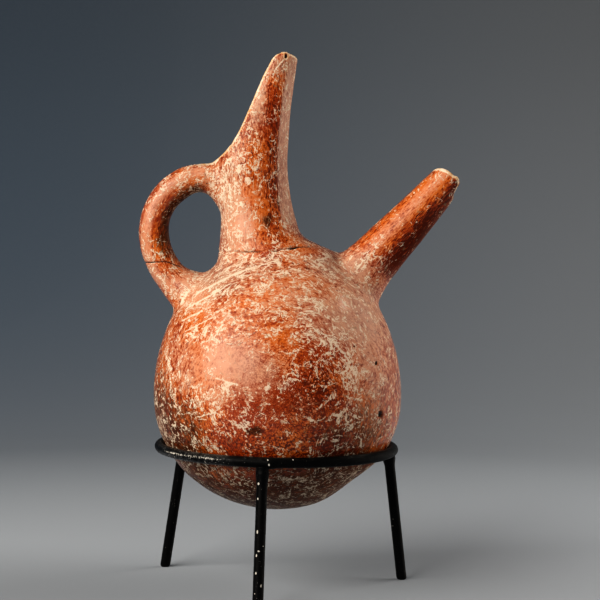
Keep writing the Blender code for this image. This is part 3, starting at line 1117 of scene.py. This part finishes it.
def clay_patterns(nodes):
    """The marks on the clay, and the noises that its finish is mixed from."""
    place = nodes.node("ShaderNodeTexCoord", None, None, "Object")
    place = in_millimetres(nodes, nodes.vector("SUBTRACT", place, tuple(JUG_FOOT)))
    x, y, z = nodes.parts(place)
    marks = ("limb", "deep", "film", "smooth", "dark", "lime", "edge", "outside", "crack", "pit")
    clay = SimpleNamespace(place=place, x=x, y=y, z=z, **{name: nodes.attribute(name) for name in marks})

    # Rubbing strokes follow circles round the middle of the belly, as a polishing pebble went, and run
    # along the neck, the spout and the handle
    from_middle = nodes.joined(x, 0.0, z - BELLY_MIDDLE)
    reach = nodes.vector("LENGTH", from_middle, out=1) + nodes.clouds(place, 46.0, 1.0) * 34.0
    turn_x, _, turn_z = nodes.parts(nodes.vector("NORMALIZE", from_middle))
    side, deep, run = nodes.parts(nodes.attribute("limb_place", "Vector"))

    def round_belly(turns, width, depth, *texture):
        drawn_out = nodes.joined(turn_x * turns, turn_z * turns, reach / width)
        return nodes.clouds(drawn_out, 1.0, *texture, depth=y / depth)

    def along_limb(width, length, *texture):
        return nodes.clouds(nodes.joined(side / width, deep / width, run / length), 1.0, *texture)

    broad, thin, short, long = (4.0, 0.66, 0.7), (3.0, 0.55, 0.3), (2.0, 0.6, 0.5), (4.0, 0.62, 0.6)
    limb = clay.limb
    clay.strokes = nodes.blend(limb, round_belly(8.0, 1.8, 30.0, *broad), along_limb(1.6, 2.8, *broad))
    clay.scratches = nodes.blend(limb, round_belly(6.0, 1.3, 16.0, *thin), along_limb(1.1, 9.0, *thin))
    clay.grains = nodes.blend(limb, round_belly(22.0, 1.1, 3.0, *short), along_limb(1.0, 5.0, *short))
    clay.streaks = nodes.blend(limb, round_belly(3.5, 2.6, 20.0, *long), clay.strokes)
    clay.broad = nodes.clouds(place, 42.0, 3.0, 0.5, 0.3)
    clay.patches = nodes.clouds(place, 8.0, 5.0, 0.62, 0.6)
    clay.crumbs = nodes.clouds(place, 2.0, 3.0, 0.60, 0.9)
    clay.grit = nodes.clouds(place, 0.7, 2.0, 0.6)
    return clay


def slip_colour(nodes, clay, settings):
    """The slip, thick and thin, with fire clouds, painted shade, film, painted sheen and stains. Returns
    where those are too.
    """
    mix, step = nodes.mix, nodes.step
    patches, crumbs, grains, strokes = clay.patches, clay.crumbs, clay.grains, clay.strokes
    # Thick and thin, mottled down to single grains
    thickness = clay.broad * 0.5 + patches * 0.35 + crumbs * 0.45 + grains * 0.6 - clay.deep * 0.12
    slip = mix(step(thickness, 0.85, 1.05), settings.red, settings.orange)
    mottle = crumbs * 0.3 + grains * 1.1 + patches * 0.2 + strokes * 0.2 - clay.deep * 0.14
    mottle = step(mottle, 0.83, 0.73) * (0.74 - clay.film * 0.3) * (1.0 - clay.smooth * 0.75)
    slip = mix(mottle.clamped(), slip, settings.deep)
    thin = step(grains + (patches - 0.5) * 0.4 - clay.deep * 0.08, 0.62, 0.68)
    slip = mix(thin * (0.7 - clay.smooth * 0.4), slip, settings.thin)

    # Clouds from the fire in mottled brown, with painted shade under the belly, under the spout and inside
    # the handle
    clouding_and_shade = step(clay.dark * 0.9 + (crumbs + patches + strokes - 1.5) * 1.4, 0.10, 0.90)
    slip = mix(clouding_and_shade * 0.88, slip, settings.soot_and_shade)

    # A thin pale film where the burnish has gone dull, and a painted sheen, pale salmon where the lights'
    # highlights fall
    fine = (crumbs + grains - 1.0) * (1.6 - clay.smooth * 1.2)
    haze = step(clay.film + (patches - 0.5) * (1.8 - clay.limb * 0.9) + fine, 0.12, 1.0)
    slip = mix(haze * 0.72, slip, settings.worn)
    sheen = clay.smooth + (patches - 0.5) * 0.9 + (crumbs + grains - 1.0) * 1.1
    slip = mix(step(sheen, 0.10, 0.95) * 0.85, slip, settings.painted_sheen)

    # Scattered greyish stains, between the lime and the slip
    stains = step(nodes.clouds(clay.place, 5.0, 3.0, 0.6, 0.5) + (crumbs - 0.5) * 0.5, 0.63, 0.72)
    slip = mix(stains * 0.60 * (1.0 - clay.smooth * 0.6), slip, settings.stain)
    return slip, clouding_and_shade, haze


def scratched(nodes, x, z, start, end, width, rough):
    """A single pale scratch, from one (x, height) to another."""
    run = Vector((end[0] - start[0], 0.0, end[1] - start[1]))
    from_start = nodes.joined(x - start[0], 0.0, z - start[1])
    share = nodes.vector("DOT_PRODUCT", from_start, tuple(run / run.length_squared), out=1).clamped()
    nearest = nodes.joined(share * run.x, 0.0, share * run.z)
    away = nodes.vector("DISTANCE", from_start, nearest, out=1)
    return nodes.step(away + (rough - 0.5) * width * 2.5, width * 1.1, width * 0.7)


def lime_marks(nodes, clay):
    """Where lime shows: in clumps, strokes, fine scratches, specks, root marks and the single scratches."""
    step = nodes.step
    patches, crumbs, grains, density = clay.patches, clay.crumbs, clay.grains, clay.lime
    clumps = clay.strokes * 0.9 + patches * 0.45 + crumbs * 0.6 + grains * 0.5
    in_clumps = step(clumps + density * 0.32, 1.51, 1.58)
    scratches = clay.scratches + density * 0.20 + (patches - 0.5) * 0.3 + (grains - 0.5) * 0.3
    in_scratches = step(scratches, 0.72, 0.76)
    in_specks = step(grains + density * 0.20 + (patches - 0.5) * 0.3, 0.71, 0.75) * 0.85
    # Thin crooked marks, left by roots
    root = (nodes.clouds(clay.place, 11.0, 3.0, 0.6, 1.4) - 0.5).size()
    in_roots = step(root - density * 0.020 - (crumbs - 0.5) * 0.12, 0.026, 0.014)
    in_roots = in_roots * step(patches + density * 0.30 + (crumbs - 0.5) * 0.4, 0.60, 0.64)
    streaks = clay.streaks + density * 0.22 + (crumbs - 0.5) * 0.2 + (grains - 0.5) * 0.3
    in_streaks = step(streaks, 0.77, 0.80)
    lime = in_clumps.most(in_scratches).most(in_specks).most(in_roots).most(in_streaks)

    near_side = step(clay.y, 8.0, 0.0)
    bent_x = clay.x + (patches - 0.5) * 7.0
    bent_z = clay.z + (crumbs - 0.5) * 3.0 + (patches - 0.5) * 5.0
    for start, end, width in SCRATCHES:
        lime = lime.most(scratched(nodes, bent_x, bent_z, start, end, width, grains) * near_side)
    return lime


def slip_material(settings):
    """Burnished red slip with worn patches, fire clouds, painted shade and sheen, lime in scratches, specks
    and broken edges.
    """
    material, nodes, shader = new_material(
        "burnished_slip", Specular_IOR_Level=0.06, Coat_Roughness=0.16, Coat_IOR=1.7
    )
    mix, step = nodes.mix, nodes.step
    clay = clay_patterns(nodes)
    patches, crumbs, grit = clay.patches, clay.crumbs, clay.grit
    slip, clouding_and_shade, haze = slip_colour(nodes, clay, settings)
    lime = lime_marks(nodes, clay)
    lime_colour = mix(step(grit, 0.35, 0.65), shaded(settings.lime, 0.80), settings.lime)
    skin = mix(lime * 0.78, slip, lime_colour)

    # Black specks, pale broken edges, plain clay inside, and painted shade in the cracks, the pits, the
    # pierced hole and the beak's tip
    specks = step(grit + (crumbs - 0.5) * 0.3, 0.70, 0.76)
    skin = mix(specks * 0.75, skin, (0.02, 0.012, 0.009))
    worn_edge = step(clay.edge + (patches - 0.5) * 0.9, 0.45, 0.75)
    limed = step(crumbs + patches - 0.5, 0.35, 0.65)
    skin = mix(worn_edge * 0.9, skin, mix(limed, (0.56, 0.33, 0.15), settings.lime))
    inner = mix(patches, shaded(settings.inner, 0.6), shaded(settings.inner, 1.3))
    skin = mix(clay.outside, inner, skin)
    hollow = clay.crack.most(clay.pit) + (crumbs - 0.5) * 0.5
    skin = mix(step(hollow, 0.35, 0.8), skin, (0.012, 0.006, 0.004))

    dull = lime.most(worn_edge).most(haze * 0.35)
    roughness = 0.45 + dull * 0.35 + (clay.strokes - 0.5) * 0.2 + (1.0 - clay.outside) * 0.2
    polish = (1.0 - lime) * (1.0 - haze * 0.4) * (1.0 - clouding_and_shade * 0.85) * (1.0 - worn_edge)
    polish = polish * (1.0 - clay.deep.most(0.0) * 0.6).most(0.0) * clay.outside
    # Heights in millimetres
    height = lime * 0.14 + (clay.strokes + crumbs) * 0.04 + grit * 0.02 - specks * 0.08
    bump = nodes.bump(1.0, MM, height)
    feed(nodes, shader, Base_Color=skin, Normal=bump)
    feed(nodes, shader, Roughness=roughness.clamped(), Coat_Weight=polish.clamped())
    return material


def paint_material(settings):
    """Black paint on steel, a little dusty on top, chipped and speckled, with a painted sheen and highlight
    along the ring's front left.
    """
    material, nodes, shader = new_material(
        "black_paint", Specular_IOR_Level=0.08, Coat_Roughness=0.22, Coat_IOR=1.6
    )
    mix, step, clouds = nodes.mix, nodes.step, nodes.clouds
    place = in_millimetres(nodes, nodes.node("ShaderNodeTexCoord", None, None, "Object"))
    facing = nodes.parts(nodes.node("ShaderNodeNewGeometry", None, None, "Normal"))[2]
    worn = nodes.attribute("worn")
    wide = clouds(place, 24.0, 2.0)
    flakes = clouds(place, 6.0, 4.0, 0.6, 0.5)
    lumpy = clouds(place, 3.0, 4.0, 0.6)
    speck = clouds(place, 1.1, 3.0, 0.65)

    # Partly rubbed paint, partly a painted sheen: greyer on upward faces and where the ring is marked worn,
    # on its front left
    rubbed = step(worn * 0.9 + facing * 0.7 + (lumpy - 0.5) * 1.2, 0.65, 1.4)
    colour = mix(rubbed, settings.paint, settings.rubbed)
    # Dust on upward faces, lightened more on the ring's front left as a painted sheen
    dust_and_sheen = step(facing + (lumpy - 0.5) * 1.6, 0.45, 1.4) * step(wide, 0.42, 0.66)
    colour = mix(dust_and_sheen * (0.12 + worn * 0.3), colour, settings.dust_and_sheen)
    chips = step(speck + worn * 0.07 + (lumpy - 0.5) * 0.35, 0.71, 0.76)
    # The chipped mark also holds the painted highlight along the ring's front left, in chip colour
    chipped = nodes.attribute("chipped") + (speck - 0.5) * 0.9 + (lumpy - 0.5) * 0.3
    chips = chips.most(step(flakes + worn * 0.05, 0.735, 0.75)).most(step(chipped, 0.48, 0.60))
    colour = mix(chips, colour, settings.chip)

    roughness = 0.4 + dust_and_sheen * 0.2 + chips * 0.3 + (lumpy - 0.5) * 0.2
    gloss = worn * (1.0 - chips) * step(speck * 0.6 + lumpy * 0.4, 0.42, 0.56)
    bump = nodes.bump(0.7, 0.5 * MM, lumpy * 0.5 + speck * 0.35 - chips * 0.5)
    feed(nodes, shader, Base_Color=colour, Normal=bump)
    feed(nodes, shader, Roughness=roughness.clamped(), Coat_Weight=gloss.clamped())
    return material


def floor_material(settings):
    """Plain matt card with painted light and shade: paler where it lies flat and to the right, greyer up
    the sweep and darker towards the front. Only its front shows.
    """
    material, nodes, shader = new_material("pale_card", Roughness=0.9, Specular_IOR_Level=0.1)
    mix, step = nodes.mix, nodes.step
    place = nodes.node("ShaderNodeTexCoord", None, None, "Object")
    rightwards, backwards, upwards = nodes.parts(place)
    outwards = nodes.vector("LENGTH", nodes.vector("MULTIPLY", place, (1.0, 1.0, 0.0)), out=1)
    pale, black = tuple(settings.floor), (0.0, 0.0, 0.0)
    # Painted light: the flat floor paler towards the right
    flat = mix(step(rightwards, -0.1, 0.5), pale, shaded(pale, 1.28))
    # Painted shade: the wall darker and bluer, less so towards the right
    wall = tuple(part * share for part, share in zip(pale, (0.205, 0.252, 0.305)))
    wall = mix(step(rightwards, -0.5, 0.7), wall, shaded(pale, 0.51))
    # Painted light: palest in the flat middle, falling off towards the wall
    colour = mix(step(outwards, 0.28, 1.38), flat, wall)
    # Painted shade: darker up the wall and towards the front
    colour = mix(step(upwards, 0.12, 0.75) * 0.34, colour, black)
    colour = mix(step(0.0 - backwards, -0.20, 0.06) * 0.20, colour, black)
    grain = nodes.clouds(place, 0.004, 3.0)
    colour = mix(grain * 0.06, colour, (0.2, 0.2, 0.2))
    feed(nodes, shader, Base_Color=colour)

    behind = nodes.node("ShaderNodeNewGeometry", None, None, "Backfacing")
    clear = nodes.node("ShaderNodeBsdfTransparent")
    seen = nodes.node("ShaderNodeMixShader", None, {0: behind, 1: Wire(nodes, shader.outputs[0]), 2: clear})
    surface = nodes.tree.nodes["Material Output"]
    nodes.tree.links.new(seen.socket, surface.inputs["Surface"])
    return material


# ---- The stand ----


def rod_tree():
    """Sweeps a round rod along a path. Its radius swells into a weld over the start of the path."""
    tree = bpy.data.node_groups.new("rod", "GeometryNodeTree")
    face = tree.interface
    face.new_socket("Path", in_out="INPUT", socket_type="NodeSocketGeometry")
    sizes = {"Radius": ROD_RADIUS, "Weld": 0.9 * MM, "Weld length": 6.0 * MM, "Step": 1.0 * MM}
    for name, default in sizes.items():
        socket = face.new_socket(name, in_out="INPUT", socket_type="NodeSocketFloat")
        socket.default_value = default
        socket.subtype = "DISTANCE"
    face.new_socket("Seed", in_out="INPUT", socket_type="NodeSocketInt")
    face.new_socket("Finish", in_out="INPUT", socket_type="NodeSocketMaterial")
    face.new_socket("Rod", in_out="OUTPUT", socket_type="NodeSocketGeometry")
    nodes = Nodes(tree)
    given = tree.nodes.new("NodeGroupInput")
    wires = [Wire(nodes, socket) for socket in given.outputs[:7]]
    path, radius, weld, weld_length, step, seed, finish = wires
    spaced = nodes.node("GeometryNodeResampleCurve", {"mode": "LENGTH"}, {"Curve": path, "Length": step})
    distance = nodes.node("GeometryNodeSplineParameter", None, None, "Length")
    place = nodes.node("GeometryNodeInputPosition")
    shift = nodes.joined(seed * 3.7, 0.0, 0.0)
    unevenness = nodes.clouds(nodes.vector("ADD", place, shift), 5.0 * MM, 2.0) - 0.5
    fading = {"From Min": weld_length * 0.35, "From Max": weld_length, "To Min": 1.0, "To Max": 0.0}
    settings = {"interpolation_type": "SMOOTHSTEP"}
    swell = nodes.node("ShaderNodeMapRange", settings, {"Value": distance, **fading})
    width = radius + weld * swell * (1.0 + unevenness * 2.0) + unevenness * (0.10 * MM)
    profile = nodes.node("GeometryNodeCurvePrimitiveCircle", None, {"Resolution": 48, "Radius": 1.0})
    ends = {"Curve": spaced, "Profile Curve": profile, "Scale": width, "Fill Caps": True}
    swept = nodes.node("GeometryNodeCurveToMesh", None, ends)
    real = nodes.node("GeometryNodeRealizeInstances", None, {"Geometry": swept})
    coated = nodes.node("GeometryNodeSetMaterial", None, {"Geometry": real, "Material": finish})
    result = tree.nodes.new("NodeGroupOutput")
    tree.links.new(coated.socket, result.inputs[0])
    return tree


def set_input(modifier, name, value):
    for item in modifier.node_group.interface.items_tree:
        if item.item_type == "SOCKET" and item.in_out == "INPUT" and item.name == name:
            modifier[item.identifier] = value
            return
    raise RuntimeError(f"the tree has no input named {name}")


def swept_rod(name, points, closed, tree, **inputs):
    """A rod along straight pieces between the points, as a mesh with its faces turned outwards."""
    curve = bpy.data.curves.new(name, "CURVE")
    curve.dimensions = "3D"
    line = curve.splines.new("POLY")
    line.points.add(len(points) - 1)
    for point, place in zip(line.points, points):
        point.co = (*place, 1.0)
    line.use_cyclic_u = closed
    path = new_piece(name, curve)
    rod = path.modifiers.new("rod", "NODES")
    rod.node_group = tree
    for key, value in inputs.items():
        set_input(rod, key.replace("_", " "), value)
    thing = welded(worked_out(path), turned_outwards=True)
    thing.data.shade_smooth()
    return thing


def mark_paint(thing, worn, chips=(), crust_and_highlight=0.0):
    """Marks how worn the paint is, where a pale crust is painted on as a highlight, and where single chips
    have come away.
    """
    points = read_points(thing.data)
    put(thing.data, "worn", worn + np.zeros(len(points)))
    chipped = crust_and_highlight + np.zeros(len(points))
    for chip in chips:
        chipped = np.maximum(chipped, blob(points, *chip) * (points[:, 1] < -50.0))
    put(thing.data, "chipped", chipped)


def round_the_ring(points):
    """Each point's direction round the ring in degrees, and its place in the rod: (outward, upward)."""
    from_middle = points - np.array(RING_MIDDLE) / MM
    turn = np.degrees(np.arctan2(from_middle[:, 1], from_middle[:, 0]))
    out = np.hypot(from_middle[:, 0], from_middle[:, 1]) - RING_RADIUS / MM
    return turn, np.stack([out, from_middle[:, 2]], 1) / (ROD_RADIUS / MM)


# ---- Operators ----


class MakeJug(bpy.types.Operator):
    """Build the jug: its clay wall, its wear and its slip"""

    bl_idname = "jug.make_jug"
    bl_label = "Make the jug"

    def execute(self, context):
        settings = context.scene.jug_settings
        skin = clay_form(settings)
        mouth, end = mouth_cutter(), spout_end_cutter()
        hollows = [
            belly("belly_hollow", BELLY_WALL, BASE_WALL),
            neck_bore(),
            spout_form("spout_bore", SPOUT_BORE),
        ]
        wall = hollowed(skin, [mouth, end, *hollows], settings)
        bpy.context.view_layer.update()
        worn_jug(wall, skin, mouth, end, settings)
        hole = pierced_hole_cutter()
        cut_or_join(wall, hole, "DIFFERENCE")
        jug = fewer_faces(worked_out(wall), inner_wall, INNER_KEPT)
        jug = fewer_faces(jug, far_side, FAR_KEPT)
        for tool in (skin, mouth, end, hole, *hollows):
            bpy.data.objects.remove(tool, do_unlink=True)
        jug.name = jug.data.name = "clay_jug"
        jug.data.transform(Matrix.Translation(JUG_FOOT))
        jug.data.materials.clear()
        jug.data.materials.append(slip_material(settings))
        jug.data.shade_smooth()
        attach(jug, "root")
        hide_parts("jug")
        return {"FINISHED"}


class MakeStand(bpy.types.Operator):
    """Build the ring and its three legs, with their welds and their chipped black paint"""

    bl_idname = "jug.make_stand"
    bl_label = "Make the stand"

    def execute(self, context):
        settings = context.scene.stand_settings
        finish = paint_material(settings)
        tree = rod_tree()
        self.make_ring(settings.weld, tree, finish)
        for seed, name in enumerate(LEGS, 2):
            self.make_leg(name, seed, settings.weld, tree, finish)
        return {"FINISHED"}

    def make_ring(self, weld, tree, finish):
        around = [2 * math.pi * i / RING_STEPS for i in range(RING_STEPS)]
        line = [RING_MIDDLE + RING_RADIUS * Vector((math.cos(a), math.sin(a), 0.0)) for a in around]
        ring = swept_rod("ring", line, True, tree, Finish=finish, Radius=RING_ROD, Weld=0.0, Seed=1)
        self.add_beads(ring, weld)
        # A painted highlight, as a speckled pale crust, on the upper side of the ring's front left stretch
        turn, across = round_the_ring(read_points(ring.data))
        front_left = ramp(turn, -172.0, -146.0) * ramp(-turn, 104.0, 120.0)
        upper = bell(np.degrees(np.arctan2(across[:, 1], across[:, 0])) - 14.0, 24.0)
        mark_paint(ring, 0.06 + 0.94 * front_left, RING_CHIPS, 0.56 * front_left * upper)
        self.dress(ring, "stand_ring")

    def make_leg(self, name, seed, weld, tree, finish):
        degrees, splay = LEGS[name]
        out = Vector((math.cos(math.radians(degrees)), math.sin(math.radians(degrees)), 0.0))
        head = RING_MIDDLE + out * RING_RADIUS
        down = out * splay - Vector((0.0, 0.0, 1.0))
        path = [head + down * share * RING_MIDDLE.z for share in (0.03, 0.3, 0.7, 1.0)]
        leg = swept_rod(
            name.replace("stand_", ""),
            path,
            False,
            tree,
            Finish=finish,
            Radius=LEG_ROD,
            Step=0.5 * MM,
            Weld=weld * (1.4 if name == "stand_leg_right" else 1.0),
            Weld_length=15.0 * MM,
            Seed=seed,
        )
        self.cut_level(leg, head, down)
        foot = head + down * RING_MIDDLE.z
        chips = []
        for side, height, across, up in LEG_CHIPS.get(name, ()):
            middle = (foot.x + (head.x - foot.x) * height * MM / RING_MIDDLE.z) / MM
            chips.append((middle + side, height, across, up))
        mark_paint(leg, 0.08, chips)
        self.dress(leg, name)

    def add_beads(self, ring, size):
        """Swells the ring outwards and downwards where its own ends and the legs are welded to it."""
        points = read_points(ring.data)
        turn, side = round_the_ring(points)
        share = np.clip(0.7 * side[:, 0] - 0.7 * side[:, 1] + 0.3, 0.0, 1.0)
        # Each bead: (direction in degrees, half its width in degrees, height as a share of the size)
        beads = [(LEGS["stand_leg_front"][0] + 3.8, 2.3, 1.0)]
        beads += [(degrees, 3.4, 0.5) for degrees, _ in LEGS.values()]
        for middle, half_width, height in beads:
            away = (turn - middle + 180.0) % 360.0 - 180.0
            push = size / MM * height * bell(away, half_width) * share
            points[:, 0] += np.cos(np.radians(turn)) * side[:, 0] * push
            points[:, 1] += np.sin(np.radians(turn)) * side[:, 0] * push
            points[:, 2] += side[:, 1] * push
        ring.data.vertices.foreach_set("co", (points * MM).ravel())

    def cut_level(self, leg, head, down):
        """Levels the foot on the floor and rounds its edge."""
        points = read_points(leg.data)
        points[:, 2] = np.maximum(points[:, 2], 0.0)
        axis = (np.array(head) + np.outer(RING_MIDDLE.z - points[:, 2] * MM, np.array(down))) / MM
        inset = 0.28 * np.clip(1.0 - points[:, 2] / 2.2, 0.0, 1.0) ** 2
        points[:, :2] += (axis - points)[:, :2] * inset[:, None]
        leg.data.vertices.foreach_set("co", (points * MM).ravel())

    def dress(self, piece, node):
        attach(piece, "root")
        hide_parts(node)


class MakeStage(bpy.types.Operator):
    """Lay the floor and its sweep, and set the lights and the camera"""

    bl_idname = "jug.make_stage"
    bl_label = "Set the stage"

    def execute(self, context):
        settings = context.scene.stage_settings
        self.floor(settings)
        aim = Vector((RING_MIDDLE.x + AIM_RIGHT, RING_MIDDLE.y, settings.aim_height))
        # name, turn and rise in degrees, distance, size, power
        lights = (
            ("key_light", 46.0, 26.0, 2.0, (1.9, 1.35), settings.key_power),
            ("side_light", -106.0, 12.0, 1.6, (1.5, 1.8), settings.side_power),
            ("top_light", 40.0, 68.0, 2.0, (1.6, 1.6), settings.side_power * 0.12),
        )
        for light in lights:
            self.light(aim, settings.warmth, *light)
        self.camera(context, aim, settings.distance)
        world = bpy.data.worlds.new("soft_room")
        world.use_nodes = True
        ground = world.node_tree.nodes["Background"]
        ground.inputs["Color"].default_value = (0.66, 0.68, 0.72, 1.0)
        ground.inputs["Strength"].default_value = 0.03
        context.scene.world = world
        context.scene.view_settings.view_transform = "Standard"
        context.scene.view_settings.look = "High Contrast"
        return {"FINISHED"}

    def floor(self, settings):
        """A round floor that turns up into a wall all round, seen only from inside."""
        steps = 12
        profile = [(0.3, 0.0), (0.6, 0.0), (FLAT_FLOOR, 0.0)]
        for i in range(1, steps + 1):
            turn = math.pi / 2 * i / steps
            rise = FLOOR_SWEEP * (1.0 - math.cos(turn))
            profile.append((FLAT_FLOOR + FLOOR_SWEEP * math.sin(turn), rise))
        profile.append((FLAT_FLOOR + FLOOR_SWEEP, WALL_TOP))
        form = bmesh.new()
        sides = 96
        turns = [2 * math.pi * i / sides for i in range(sides)]
        rings = []
        for radius, height in profile:
            points = [(radius * math.cos(a), radius * math.sin(a), height) for a in turns]
            rings.append([form.verts.new(point) for point in points])
        form.faces.new(rings[0])
        for low, high in zip(rings, rings[1:]):
            for i in range(sides):
                j = (i + 1) % sides
                form.faces.new((low[i], high[i], high[j], low[j]))
        bmesh.ops.recalc_face_normals(form, faces=form.faces)
        mesh = mesh_of(form, "floor")
        if mesh.polygons[0].normal.z < 0:
            mesh.flip_normals()
        mesh.shade_smooth()
        mesh.materials.append(floor_material(settings))
        floor = new_piece("floor", mesh)
        floor.visible_shadow = False

    def light(self, aim, warmth, name, azimuth, elevation, distance, size, power):
        """A soft rectangular light, turned round the jug from the camera's side towards the handle."""
        turn, rise = math.radians(azimuth), math.radians(elevation)
        away = Vector((-math.sin(turn) * math.cos(rise), -math.cos(turn) * math.cos(rise), math.sin(rise)))
        lamp = bpy.data.lights.new(name, "AREA")
        lamp.shape = "RECTANGLE"
        lamp.size, lamp.size_y = size
        lamp.energy = power
        lamp.color = warmth
        thing = new_piece(name, lamp)
        thing.location = aim + away * distance
        thing.rotation_euler = (-away).to_track_quat("-Z", "Y").to_euler()
        thing.visible_camera = False

    def camera(self, context, aim, distance):
        """The camera looks along +Y, a little down, and leans a little to one side."""
        eye = bpy.data.cameras.new("camera")
        eye.sensor_width = 36.0
        eye.lens = LENS
        thing = new_piece("camera", eye)
        turned = Matrix.Rotation(math.pi / 2 - LOOKS_DOWN, 4, "X") @ Matrix.Rotation(LEANS, 4, "Z")
        back = Vector((0.0, -math.cos(LOOKS_DOWN), math.sin(LOOKS_DOWN)))
        thing.matrix_world = Matrix.Translation(aim + back * distance) @ turned
        context.scene.camera = thing


class JugPanel(bpy.types.Panel):
    """Lists the steps that build the jug and its stand"""

    bl_idname = "VIEW3D_PT_jug"
    bl_label = "Beak-spouted jug"
    bl_space_type = "VIEW_3D"
    bl_region_type = "UI"
    bl_category = "Jug"

    def draw(self, context):
        for operator, settings in (
            (MakeJug, context.scene.jug_settings),
            (MakeStand, context.scene.stand_settings),
            (MakeStage, context.scene.stage_settings),
        ):
            box = self.layout.box()
            box.operator(operator.bl_idname)
            for name in settings.__annotations__:
                box.prop(settings, name)


SETTINGS = {"jug_settings": JugSettings, "stand_settings": StandSettings, "stage_settings": StageSettings}
CLASSES = (*SETTINGS.values(), MakeJug, MakeStand, MakeStage, JugPanel)


def register():
    for each in CLASSES:
        bpy.utils.register_class(each)
    for name, group in SETTINGS.items():
        setattr(bpy.types.Scene, name, bpy.props.PointerProperty(type=group))


def unregister():
    for name in SETTINGS:
        delattr(bpy.types.Scene, name)
    for each in reversed(CLASSES):
        bpy.utils.unregister_class(each)


def main():
    register()
    bpy.ops.jug.make_stage()
    bpy.ops.jug.make_stand()
    bpy.ops.jug.make_jug()


if __name__ == "__main__":
    main()
